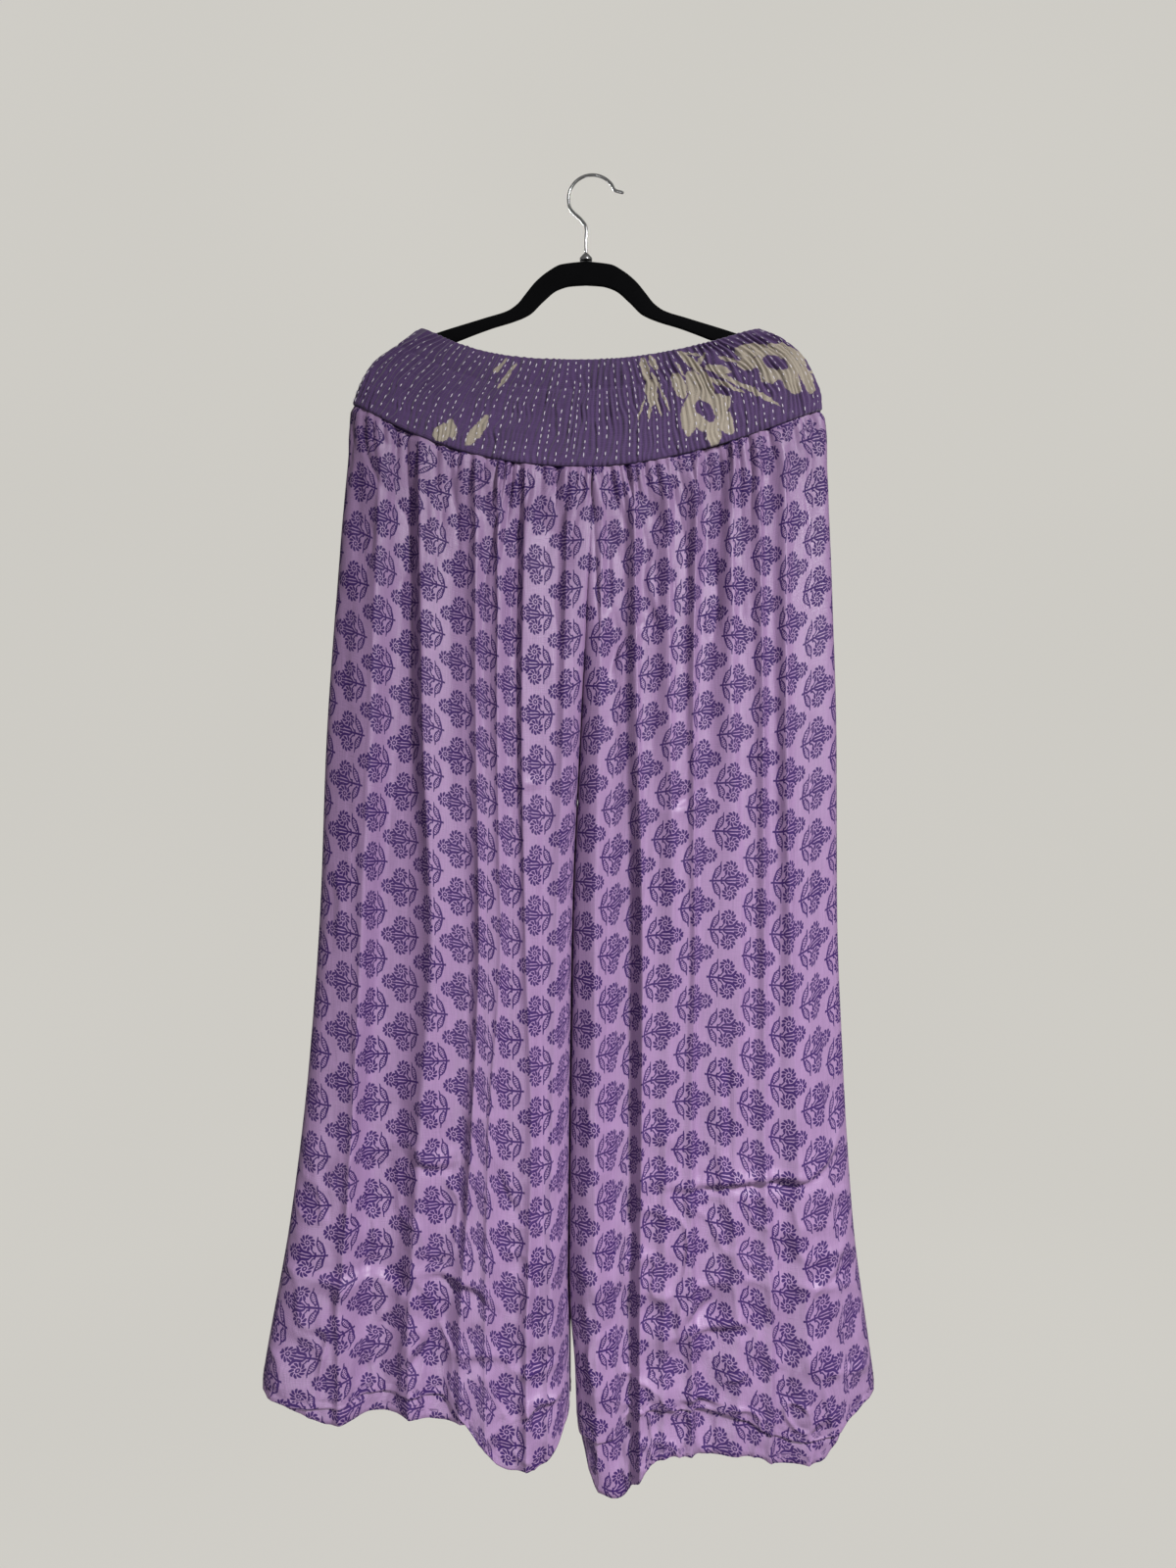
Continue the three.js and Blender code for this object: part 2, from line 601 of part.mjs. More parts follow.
const trousers = new THREE.Group();
trousers.add(waistband(cotton()));
PANELS.forEach((panel) => trousers.add(outerPanel(panel, silk())));
trousers.add(innerLeg("left", INNER_LEFT_HEM, silk()), innerLeg("right", INNER_RIGHT_HEM, silk()));
trousers.add(hangerBody(flock()), hangerCollar(steel()), hangerHook(steel()));

export default trousers;
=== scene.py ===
"""Looks for a pair of wide two-layer silk trousers that hang by a shirred cotton waistband.

The tables repeat the sizes of the CAD source, in millimetres: +X is right, +Z is up, the front faces
-Y, and "down" is a distance below the top of the hook's inside. The cloth is made here as thin, fine
shells on the same forms, with their smaller folds and creases.
"""

import json
import math

import bpy
import numpy as np
from bpy.props import FloatProperty, FloatVectorProperty, IntProperty, PointerProperty
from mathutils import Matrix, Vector

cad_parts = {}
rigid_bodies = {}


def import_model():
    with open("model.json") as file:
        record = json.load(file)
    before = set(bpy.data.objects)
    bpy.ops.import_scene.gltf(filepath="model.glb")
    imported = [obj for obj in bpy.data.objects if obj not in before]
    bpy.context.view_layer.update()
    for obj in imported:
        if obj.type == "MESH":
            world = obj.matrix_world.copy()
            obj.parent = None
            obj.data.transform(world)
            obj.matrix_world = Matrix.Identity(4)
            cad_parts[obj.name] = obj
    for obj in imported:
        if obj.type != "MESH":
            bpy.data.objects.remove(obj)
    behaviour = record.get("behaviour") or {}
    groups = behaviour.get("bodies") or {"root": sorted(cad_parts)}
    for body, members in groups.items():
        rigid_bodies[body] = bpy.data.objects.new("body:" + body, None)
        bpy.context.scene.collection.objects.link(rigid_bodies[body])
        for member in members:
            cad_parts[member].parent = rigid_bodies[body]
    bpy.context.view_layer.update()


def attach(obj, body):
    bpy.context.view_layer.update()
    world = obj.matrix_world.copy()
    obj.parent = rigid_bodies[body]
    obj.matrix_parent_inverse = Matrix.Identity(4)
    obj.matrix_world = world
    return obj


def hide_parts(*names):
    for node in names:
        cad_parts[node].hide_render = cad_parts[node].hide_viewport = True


bl_info = {
    "name": "Butterfly Trousers",
    "version": (1, 0, 0),
    "blender": (4, 5, 0),
    "location": "3D View > Sidebar > Trousers",
    "description": "Builds silk trousers with a shirred waistband, on their hanger",
    "category": "Object",
}

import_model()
MM = 0.001

# Each of these tables gives its measures at the places in its first row.
# The waistband's rows, from its top edge, 0, to the waist seam, 1.
BAND_ROWS = {
    "at": [0, 0.25, 0.5, 0.75, 1],
    "left": [-161.5, -183.5, -206, -219.5, -228],
    "leftDown": [148.5, 163, 180.5, 201, 222.5],
    "right": [166, 188, 208, 219.5, 224],
    "rightDown": [149, 160, 178.5, 203, 229],
    "middleDown": [181.5, 208, 234, 260.5, 286.5],
}
BAND_FORM = {
    "at": [0, 0.25, 1],
    "front": [11, 13, 20],
    "back": [10, 12, 18],
    "shoulder": [26, 32, 50],
    "leftSag": [3, 2.8, 2.3],
    "rightSag": [1.8, 1.8, 1.7],
    "pleat": [2.4, 2.6, 2.3],
}

# The outline from the front and the inner edge of each leg, by how far down they are.
SIDES = {
    "at": [222, 285, 399, 551, 703, 855, 1007, 1149, 1190],
    "left": [-228, -234, -244, -254.5, -260, -271, -289, -314, -320],
    "right": [222.5, 230, 235.5, 240, 240.5, 246, 255.5, 274, 279.5],
}
CROTCH_DOWN = 605
CROTCH_ROW = 0.35
MIDDLE_AT_WAIST = (286, 5)
MIDDLE_AT_CROTCH = (CROTCH_DOWN, -11)
INNER_EDGES = {
    "at": [605, 683, 777, 965, 1059, 1153, 1204, 1245, 1272],
    "left": [-11.3, -17, -20, -21.7, -21.7, -21.7, -21.5, -21.5, -21.5],
    "right": [-10.7, -12, -13, -16, -17.5, -10.5, -8.5, -4, 5],
}
LEG_FORM = {
    "at": [0, 0.1, 0.4, 1],
    "front": [20, 24, 31, 36],
    "back": [18, 21, 26, 29],
    "shoulder": [50, 54, 60, 60],
    "innerShoulder": [45, 45, 45, 42],
}
ROUNDNESS = 2.2
WAIST_GAP = 0.5
LAYER_OFFSET = 2.3
INNER_LAYER_FROM = 0.5
FOLD_DEEPER = 1.6
CREASE_DEEPER = 1.4
LEG_LENGTH = 930

# The legs' inner sides swell towards each other and close most of the slit between them.
MOST_SWELL = 3.2
SWELL_WIDTHS = {-1: 5, 1: 12}
BACK_LEANS = {"left": 6, "right": -6}

# The long folds: X of each valley and of the ridge beyond it at the heights of FOLD_DOWN, and depths.
FOLD_DOWN = [310, 515, 738, 924, 1100]
GATHER_AT_SEAM = 0.45
GATHER_OPENS_BY = 0.06

# Each layer of gathers: its pitch and depth, how far below the seam it is full and gone, and a seed.
GATHER_LAYERS = [(11, 5.6, 10, 55, 0), (18, 5, 25, 120, 8), (33, 4.2, 60, 260, 16)]
PUFF_BELOW_SEAM = 2.2
FRONT_LEFT_FOLDS = [
    ([-217, -232, -238, -240, -256], [-200, -207, -215, -224, -236], [2, 2, 2, 3, 3]),
    ([-176, -181, -199, -208, -208], [-162, -158, -149, -160, -170], [8, 11, 12, 12, 11]),
    ([-127, -129, -121, -126, -149], [-108, -107, -104, -111, -122], [5, 5, 6, 6, 6]),
    ([-97, -99, -95, -102, -109], [-87, -87, -84, -95, -98], [4, 3, 1.5, 1.5, 1.5]),
    ([-73, -72, -73, -77, -79], [-61, -64, -60, -54, -59], [6, 5, 3, 4, 5]),
    ([-33, -38, -42, -44, -49], [-21, -24, -31, -35, -39], [4, 4, 3, 3, 3]),
]
FRONT_RIGHT_FOLDS = [
    ([211, 207, 209, 224, 235], [187, 187, 191, 197, 207], [4, 4, 4, 3, 3]),
    ([173, 176, 178, 179, 183], [162, 165, 166, 166, 172], [4, 5, 4, 4, 4]),
    ([152, 155, 157, 154, 162], [137, 137, 144, 138, 141], [3, 3, 3, 1.5, 2]),
    ([125, 110, 108, 107, 109], [103, 99, 100, 97, 97], [9, 5, 3, 4, 5]),
    ([92, 91, 93, 87, 87], [76, 77, 81, 73, 71], [4, 3, 2, 2, 2]),
    ([59, 59, 62, 62, 61], [43, 46, 51, 50, 48], [4, 4, 2, 2, 2]),
    ([32, 33, 38, 38, 38], [13, 10, 6, 6, 8], [5, 6, 12, 12, 10]),
]
BACK_LEFT_FOLDS = [
    ([-205, -214, -222, -236, -252], [-186, -192, -196, -212, -228], [4, 4, 5, 5, 5]),
    ([-164, -168, -170, -186, -201], [-146, -150, -158, -163, -172], [6, 7, 6, 7, 8]),
    ([-125, -127, -131, -140, -146], [-108, -112, -110, -117, -122], [5, 5, 4, 4, 5]),
    ([-88, -92, -93, -96, -100], [-70, -73, -78, -78, -80], [5, 6, 7, 8, 7]),
    ([-50, -53, -59, -58, -62], [-30, -33, -42, -40, -42], [4, 5, 4, 4, 4]),
]
BACK_RIGHT_FOLDS = [
    ([205, 211, 214, 222, 240], [184, 190, 195, 200, 214], [4, 5, 5, 4, 5]),
    ([160, 163, 171, 176, 186], [144, 145, 148, 155, 166], [6, 8, 8, 7, 7]),
    ([122, 126, 129, 133, 138], [105, 108, 107, 112, 118], [5, 4, 4, 5, 4]),
    ([84, 86, 90, 93, 94], [66, 68, 73, 74, 76], [5, 6, 6, 5, 6]),
    ([45, 47, 52, 50, 54], [26, 25, 30, 28, 32], [4, 5, 6, 6, 5]),
]

# How far down each hem is, by X.
FRONT_LEFT_HEM = [
    (-317, 1165), (-303, 1173), (-277, 1178), (-239, 1177), (-210, 1168), (-141, 1167), (-125, 1182),
    (-100, 1214), (-84, 1234), (-72, 1237), (-47, 1235), (-34, 1224), (-22, 1192),
]
FRONT_RIGHT_HEM = [
    (-9, 1211), (20, 1213), (36, 1190), (59, 1178), (85, 1178), (144, 1187), (165, 1198), (195, 1209),
    (236, 1202), (248, 1188), (277, 1167),
]
BACK_LEFT_HEM = [(-317, 1165), (-270, 1172), (-190, 1167), (-100, 1171), (-22, 1178)]
BACK_RIGHT_HEM = [(-9, 1190), (70, 1176), (180, 1182), (277, 1167)]
INNER_LEFT_HEM = [
    (-317, 1165), (-303, 1173), (-269, 1185), (-246, 1193), (-193, 1186), (-127, 1192), (-22, 1199),
]
INNER_RIGHT_HEM = [
    (-6, 1218), (0, 1245), (10, 1267), (18, 1271), (26, 1268), (43, 1253), (63, 1226), (85, 1222),
    (155, 1224), (180, 1231), (217, 1229), (230, 1215), (248, 1188), (277, 1167),
]

# Creases that cross the folds: (X, down) points, half width, ridge height and step height. A step
# stands out on the side above or left of its line and drops below or right of it.
FRONT_LEFT_CREASES = [
    ([(-169, 942), (-155, 950), (-139, 953), (-126, 950)], 5, -1.2, 2.6),
    ([(-185, 930), (-171, 927), (-160, 937)], 4, 1.6, 0),
    ([(-280, 1048), (-261, 1054), (-232, 1058), (-204, 1054), (-183, 1064), (-160, 1082)], 6, 1.2, -2.4),
    ([(-160, 1054), (-141, 1053), (-123, 1059), (-104, 1067), (-90, 1082)], 5, 1.0, 2.4),
    ([(-193, 1164), (-179, 1144), (-160, 1124), (-146, 1103), (-134, 1078)], 7, -1.6, 2.6),
    ([(-86, 954), (-76, 982), (-67, 994)], 4, -1.6, 1.2),
    ([(-45, 1049), (-47, 1091), (-52, 1130)], 4, -1.6, 1.0),
    ([(-229, 1012), (-227, 1045)], 5, -1.6, 0),
    ([(-243, 665), (-236, 700), (-239, 745)], 5, 1.4, 0),
    ([(-66, 590), (-44, 587)], 4, 1.5, 0),
    ([(-120, 1130), (-95, 1128), (-72, 1134)], 5, 1.6, 1.2),
    ([(-290, 1100), (-262, 1116), (-246, 1136)], 6, 1.4, 0),
    ([(-64, 1188), (-44, 1176), (-27, 1170)], 5, 1.6, 2.0),
]
FRONT_RIGHT_CREASES = [
    ([(70, 970), (92, 972), (129, 967), (176, 963), (208, 964), (228, 951), (239, 924)], 4, 0.6, 3.4),
    ([(127, 846), (130, 902), (130, 962)], 4, -1.4, -1.8),
    ([(85, 1111), (113, 1104), (151, 1097)], 5, 1.2, 2.6),
    ([(77, 1122), (92, 1094), (115, 1076), (125, 1053), (125, 1026)], 8, -0.8, 3.0),
    ([(241, 1018), (233, 1047), (206, 1076)], 4, 2.4, 0),
    ([(85, 1172), (102, 1167), (122, 1175)], 5, 1.8, 2.0),
    ([(33, 1066), (35, 1032), (46, 994)], 4, 2.0, 0),
    ([(194, 1193), (213, 1199), (232, 1190)], 5, -1.8, 1.2),
    ([(199, 1133), (191, 1153)], 4, 1.6, 0),
    ([(22, 362), (22, 420), (9, 458)], 4, 2.0, 0),
    ([(56, 436), (40, 446), (27, 459), (19, 487)], 4, -1.6, 2.0),
    ([(119, 373), (122, 414), (117, 454)], 4, -2.0, -1.4),
    ([(113, 590), (94, 606), (77, 612)], 5, -1.2, 2.2),
    ([(150, 564), (170, 556)], 4, 1.8, 0),
    ([(60, 360), (56, 396), (63, 424), (70, 442)], 4, 1.4, 0.8),
    ([(250, 1105), (259, 1130), (252, 1160)], 5, 1.8, 0),
]
BACK_LEFT_CREASES = [
    ([(-240, 905), (-205, 912), (-160, 906), (-128, 915)], 5, 0.6, 3.0),
    ([(-128, 915), (-126, 960), (-130, 1020)], 5, -1.4, 1.2),
    ([(-262, 1050), (-232, 1066), (-196, 1062), (-160, 1080)], 6, 1.2, 2.2),
    ([(-110, 1128), (-92, 1100), (-66, 1084)], 6, -1.2, 2.2),
    ([(-52, 930), (-62, 965), (-58, 1002)], 4, 1.8, 0),
    ([(-214, 1120), (-188, 1132), (-150, 1126)], 5, 1.6, 1.4),
]
BACK_RIGHT_CREASES = [
    ([(62, 940), (96, 952), (140, 946), (188, 955)], 5, 0.6, 2.8),
    ([(206, 1010), (190, 1046), (196, 1082)], 5, 1.8, 0),
    ([(52, 1070), (86, 1060), (124, 1076), (150, 1070)], 6, 1.2, 2.2),
    ([(110, 1130), (132, 1112), (170, 1110)], 5, -1.4, 2.0),
    ([(30, 880), (36, 925), (24, 965)], 4, 1.6, 0),
]

# Half of the hanger's outline, from its middle to the tip of an arm, and its wire hook.
HANGER_CENTRE_X = -3
HANGER_THICKNESS = 5
HANGER_REACH = 191
HANGER_TIP_FROM = 188.5
HANGER_TIP_RADIUS = 2.6
HANGER_EDGE_RADIUS = 1.8
HANGER_TOP = [
    (0, 82.5), (24, 85.5), (37, 92.5), (48.5, 102), (58, 113.5), (66, 123.5), (76, 130.5), (98, 137.5),
    (150, 154), (186, 169), (191, 174),
]
HANGER_BOTTOM = [
    (0, 105.5), (15, 106.5), (28, 110.5), (42, 122), (54.5, 134), (69, 140.5), (91.5, 147.5),
    (124.5, 160), (187, 185), (191, 181),
]
WIRE_RADIUS = 1.5
HOOK_RADIUS = 23.3
HOOK_CENTRE_X = 3.3
STEM_BEND_DOWN = 48
COLLAR_TOP_DOWN = 75.4
HOOK_END = (32, 15.5)
COLLAR_PROFILE = [
    (0, 82.1), (5.6, 82.1), (6, 81.7), (6, 79.5), (5.7, 79.0), (4.4, 77.6), (3.2, 76.1), (2.6, 75.4),
    (0, 75.4),
]


class TrouserSizes(bpy.types.PropertyGroup):
    """Sizes of the cloth's finer work."""

    hem_turn: FloatProperty(
        name="Hem turning", description="How far the silk is turned up inside at each hem",
        default=0.008, min=0.003, max=0.02, unit="LENGTH",
    )
    casing_depth: FloatProperty(
        name="Casing depth", description="Share of the waistband that is the elastic casing at its top",
        default=0.27, min=0.1, max=0.5, subtype="FACTOR",
    )
    casing_pleats: IntProperty(
        name="Casing pleats", description="Pleats round the waistband in its casing",
        default=120, min=40, max=280,
    )
    shirring_pleats: IntProperty(
        name="Shirring pleats", description="Pleats round the waistband below its casing",
        default=190, min=80, max=320,
    )
    stitch_length: FloatProperty(
        name="Stitch length", description="Length of one running stitch on the waistband",
        default=0.0034, min=0.001, max=0.008, unit="LENGTH",
    )
    stitch_rows: IntProperty(
        name="Stitch rows", description="Rows of running stitches round the waistband",
        default=100, min=20, max=160,
    )


class TrouserColours(bpy.types.PropertyGroup):
    """Colours of the cloth, the thread and the hanger."""

    silk: FloatVectorProperty(
        name="Silk", description="Ground colour of the printed silk",
        default=(0.325, 0.2, 0.372), subtype="COLOR", min=0, max=1,
    )
    ink: FloatVectorProperty(
        name="Block print", description="Colour of the sprigs printed on the silk",
        default=(0.026, 0.0005, 0.09), subtype="COLOR", min=0, max=1,
    )
    cotton: FloatVectorProperty(
        name="Cotton", description="Ground colour of the waistband",
        default=(0.078, 0.038, 0.128), subtype="COLOR", min=0, max=1,
    )
    blossom: FloatVectorProperty(
        name="Blossoms", description="Colour of the flowers printed on the waistband",
        default=(0.40, 0.345, 0.28), subtype="COLOR", min=0, max=1,
    )
    thread: FloatVectorProperty(
        name="Thread", description="Colour of the running stitches",
        default=(0.9, 0.85, 0.93), subtype="COLOR", min=0, max=1,
    )
    backdrop: FloatVectorProperty(
        name="Backdrop", description="Colour of the pale floor and backdrop",
        default=(0.76, 0.74, 0.69), subtype="COLOR", min=0, max=1,
    )


def sizes():
    return bpy.context.scene.trouser_sizes


def colours():
    return bpy.context.scene.trouser_colours


def mix(a, b, share):
    return a + (b - a) * share


def eased(value, low, high):
    """0 at low and 1 at high, with a smooth way between."""
    share = np.clip((value - low) / (high - low), 0, 1)
    return share * share * (3 - 2 * share)


def bell(value, middle, width):
    """1 at the middle, falling away smoothly on both sides."""
    return np.exp(-(((value - middle) / width) ** 2))


def smooth(places, values, at):
    """A smooth curve through rising places and their values, which never overshoots them."""
    places = np.asarray(places, float)
    values = np.asarray(values, float)
    rise = np.diff(values) / np.diff(places)
    before, after = rise[:-1], rise[1:]
    total = np.where(before * after > 0, before + after, 1)
    inner = np.where(before * after > 0, 2 * before * after / total, 0)
    slope = np.concatenate([rise[:1], inner, rise[-1:]])
    at = np.clip(at, places[0], places[-1])
    n = np.clip(np.searchsorted(places, at) - 1, 0, len(places) - 2)
    span = places[n + 1] - places[n]
    w = (at - places[n]) / span
    start = (1 + 2 * w) * (1 - w) ** 2 * values[n] + w * (1 - w) ** 2 * span * slope[n]
    return start + w * w * (3 - 2 * w) * values[n + 1] + w * w * (w - 1) * span * slope[n + 1]


def ways_out(step):
    """Unit ways that point to the right of each step, seen from above."""
    way = np.stack([step[..., 1], -step[..., 0]], -1)
    return way / np.linalg.norm(way, axis=-1, keepdims=True)


def turned(distance, shoulder):
    """0 at a side fold and 1 a shoulder's width in from it, turning as the cloth does."""
    left = 1 - np.clip(distance / shoulder, 0, 1)
    return (1 - left**ROUNDNESS) ** (1 / ROUNDNESS)


def soft_noise(x, y, seed):
    """Smooth noise from -1 to 1, one wave to each whole step of x and y."""
    lattice = np.random.default_rng(seed).uniform(-1, 1, (97, 97))
    column, row = np.floor(x).astype(int), np.floor(y).astype(int)
    across, up = x - column, y - row
    across = across * across * (3 - 2 * across)
    up = up * up * (3 - 2 * up)
    near = lambda c, r: lattice[(column + c) % 97, (row + r) % 97]
    return mix(mix(near(0, 0), near(1, 0), across), mix(near(0, 1), near(1, 1), across), up)


def at_place(table, name, place):
    """A measure from one of the tables, at a place."""
    return smooth(table["at"], table[name], place)


def band_down(row, x):
    """How far down the waistband's curved rows are at an X. The last row is the waist seam."""
    found = 0
    for side, here in (("left", x < 0), ("right", x >= 0)):
        reach = np.clip(x / at_place(BAND_ROWS, side, row), 0, 1)
        sag = reach ** at_place(BAND_FORM, side + "Sag", row)
        down = mix(at_place(BAND_ROWS, "middleDown", row), at_place(BAND_ROWS, side + "Down", row), sag)
        found = found + np.where(here, down, 0)
    return found


class Panel:
    """One of the legs' four outer panels. Face is -1 in front and 1 behind."""

    def __init__(self, side, face, folds, hem, creases, per_slope, seed):
        self.name = f"leg_{'front' if face < 0 else 'back'}_{side}"
        self.side, self.face, self.folds = side, face, folds
        self.hem, self.creases, self.seed = hem, creases, seed
        slopes = 2 * len(folds) + 1
        places = np.arange(slopes * per_slope + 1)
        self.slope = np.minimum(places // per_slope, slopes - 1)
        self.share = places / per_slope - self.slope
        self.fold = np.minimum(self.slope // 2, len(folds) - 1)
        # The cloth stays deep beside a valley and comes up steeply to a crisp ridge beyond it.
        into = (1 - np.cos(np.pi * self.share**0.85)) / 2
        rise = 0.35 * (1 - np.cos(np.pi * self.share**2)) / 2 + 0.65 * self.share**4.4
        self.sunk = np.where(self.slope % 2 == 0, into, 1 - rise)
        self.sunk[self.slope == slopes - 1] = 0

    def inner_end(self, down):
        share = (down - MIDDLE_AT_WAIST[0]) / (MIDDLE_AT_CROTCH[0] - MIDDLE_AT_WAIST[0])
        middle = mix(MIDDLE_AT_WAIST[1], MIDDLE_AT_CROTCH[1], np.clip(share, 0, 1))
        return np.where(down >= CROTCH_DOWN, at_place(INNER_EDGES, self.side, down), middle)

    def side_fold(self, down):
        return at_place(SIDES, self.side, down)

    def column_x(self, down):
        lines = [self.side_fold(down)]
        for valley, ridge, _ in self.folds:
            lines += [smooth(FOLD_DOWN, valley, down), smooth(FOLD_DOWN, ridge, down)]
        lines = np.stack([*lines, self.inner_end(down)])
        slope = np.broadcast_to(self.slope, down.shape)[None]
        start = np.take_along_axis(lines, slope, 0)[0]
        end = np.take_along_axis(lines, slope + 1, 0)[0]
        return mix(start, end, self.share)

    def surface(self, along, hem):
        """The panel's points without its folds, their ways out, and each row's share along the leg."""
        seam = np.full(len(self.slope), 250.0)
        end = np.full(len(self.slope), 1180.0)
        hem_x, hem_down = zip(*hem)
        for _ in range(8):
            seam = band_down(1, self.column_x(seam))
            end = smooth(hem_x, hem_down, self.column_x(end))
        along = np.asarray(along, float)[:, None]
        down = mix(seam + WAIST_GAP / 2, end, along)
        x = self.column_x(down)
        form = lambda name: at_place(LEG_FORM, name, along)
        closed = eased(along, 0, CROTCH_ROW)
        outer = turned(np.abs(x - self.side_fold(down)), form("shoulder"))
        inner = turned(np.abs(x - self.inner_end(down)), form("innerShoulder"))
        depth = form("front" if self.face < 0 else "back")
        y = self.face * depth * outer * (1 - closed * (1 - inner))
        points = np.stack([x, y, -down], -1)
        out_x = -1 if self.side == "left" else 1
        way = ways_out(np.gradient(points[..., :2], axis=1)) * self.face * out_x
        way[:, 0] = (out_x, 0)
        last = mix(way[:, -1], np.array([-out_x, 0]), closed**4)
        way[:, -1] = last / np.linalg.norm(last, axis=-1, keepdims=True)
        return points, way, along

    def relief(self, points, along):
        """How far the cloth stands out of its smooth form, with its folds, gathers and creases."""
        x, down = points[..., 0], -points[..., 2]
        below_seam = down - down[:1] + along[0] * LEG_LENGTH
        depths = np.stack([smooth(FOLD_DOWN, depth, down) for _, _, depth in self.folds])
        depth = np.take_along_axis(depths, np.broadcast_to(self.fold, down.shape)[None], 0)[0]
        gather = mix(GATHER_AT_SEAM, 1, np.clip(along / GATHER_OPENS_BY, 0, 1))
        out = -self.sunk * gather * depth * FOLD_DEEPER
        out += PUFF_BELOW_SEAM * eased(below_seam, 0, 7) * (1 - eased(below_seam, 12, 60))
        out += self.gathers(x, below_seam)
        fine = np.zeros_like(x)
        for crease in self.creases:
            fine += CREASE_DEEPER * crease_relief(x, down, *crease)
        fine += self.crumples(x, down, along)
        inner_room = np.abs(x - self.inner_end(down))
        room = np.minimum(np.abs(x - self.side_fold(down)), inner_room)
        slit = at_place(INNER_EDGES, "right", down) - at_place(INNER_EDGES, "left", down) - 0.1
        swell = np.clip(slit / 2, 0, MOST_SWELL) * eased(down, CROTCH_DOWN, CROTCH_DOWN + 6)
        swell *= bell(inner_room, 0, SWELL_WIDTHS[self.face])
        if self.face > 0:
            lean = BACK_LEANS[self.side] * bell(inner_room, 10, 7)
            swell += lean * eased(down, CROTCH_DOWN, CROTCH_DOWN + 25)
        return out + swell + fine * eased(room, 0, 14)

    def gathers(self, x, below_seam):
        """Puffed gathers with narrow valleys that run down out of the waist seam and merge."""
        across = np.abs(x - x[:, :1])
        out = np.zeros_like(x)
        for pitch, depth, full, gone, seed in GATHER_LAYERS:
            own = self.seed + 20 + seed
            wander = 1.1 * soft_noise(across / 34 + seed, below_seam / 120 + seed, own)
            uneven = 0.55 + 0.45 * soft_noise(across / 15 + seed, below_seam / 60, own + 1)
            puff = np.abs(np.sin(np.pi * (across / pitch + wander))) ** 0.6 - 0.7
            out += depth * uneven * puff * (1 - eased(below_seam, full, gone))
        return out

    def crumples(self, x, down, along):
        """Long faint ripples at the top, and softer crumpling towards the hems."""
        low = eased(along, 0.56, 0.9)
        streaks = soft_noise(x / 13 + 40, down / 170 + 7, self.seed + 1)
        streaks += 0.5 * soft_noise(x / 6 + 11, down / 60 + 31, self.seed + 2)
        bend = 14 * soft_noise(x / 60 + 5, down / 60 + 5, self.seed + 3)
        crumple = soft_noise((x + bend) / 30 + 50, (down - bend) / 26, self.seed + 4)
        crisp = 1 - np.abs(soft_noise((x - bend) / 24 + 20, (down + bend) / 34, self.seed + 5))
        small = soft_noise(x / 9 + 60, down / 8, self.seed + 6)
        return 0.9 * streaks * (1 - 0.5 * low) + low * (2.3 * crumple + 3.3 * crisp**4 + 0.5 * small)


def crease_relief(x, down, line, width, ridge, step):
    """A ridge or trough along a line, with an optional step across it, fading out at its ends."""
    line = np.array(line, float)
    lengths = np.concatenate([[0], np.cumsum(np.linalg.norm(np.diff(line, axis=0), axis=1))])
    nearest = np.full(x.shape, 1e9)
    signed = np.zeros_like(x)
    place = np.zeros_like(x)
    for (start, end), before in zip(zip(line[:-1], line[1:]), lengths):
        way = end - start
        length = np.hypot(*way)
        share = np.clip(((x - start[0]) * way[0] + (down - start[1]) * way[1]) / length**2, 0, 1)
        off_x = x - start[0] - share * way[0]
        off_down = down - start[1] - share * way[1]
        distance = np.hypot(off_x, off_down)
        nearer = distance < nearest
        nearest = np.where(nearer, distance, nearest)
        signed = np.where(nearer, np.sign(way[0] * off_down - way[1] * off_x) * distance, signed)
        place = np.where(nearer, (before + share * length) / lengths[-1], place)
    taper = np.sin(np.pi * np.clip(place, 0.03, 0.97)) ** 0.6
    across = step * np.tanh(signed / (0.45 * width)) * bell(nearest, 0, 2.2 * width)
    return taper * (ridge * bell(nearest, 0, width) - across)


PANELS = [
    Panel("left", -1, FRONT_LEFT_FOLDS, FRONT_LEFT_HEM, FRONT_LEFT_CREASES, 15, 11),
    Panel("right", -1, FRONT_RIGHT_FOLDS, FRONT_RIGHT_HEM, FRONT_RIGHT_CREASES, 13, 12),
    Panel("left", 1, BACK_LEFT_FOLDS, BACK_LEFT_HEM, BACK_LEFT_CREASES, 15, 13),
    Panel("right", 1, BACK_RIGHT_FOLDS, BACK_RIGHT_HEM, BACK_RIGHT_CREASES, 15, 14),
]


def moved(points, way, distance):
    out = points.copy()
    out[..., :2] += way * distance[..., None]
    return out


def arc_lengths(points):
    """How far along each row its points are."""
    steps = np.linalg.norm(np.diff(points, axis=1), axis=-1)
    return np.concatenate([np.zeros((len(points), 1)), np.cumsum(steps, axis=1)], axis=1)


def placed(name, data, place=(0, 0, 0)):
    """A new object in the scene, at its place."""
    thing = bpy.data.objects.new(name, data)
    bpy.context.collection.objects.link(thing)
    thing.location = place
    return thing


def linked_piece(name, points, faces, material):
    """A smooth-shaded piece from its points in millimetres and its faces."""
    mesh = bpy.data.meshes.new(name)
    mesh.from_pydata((np.asarray(points).reshape(-1, 3) * MM).tolist(), [], faces)
    mesh.shade_smooth()
    mesh.materials.append(material)
    return placed(name, mesh)


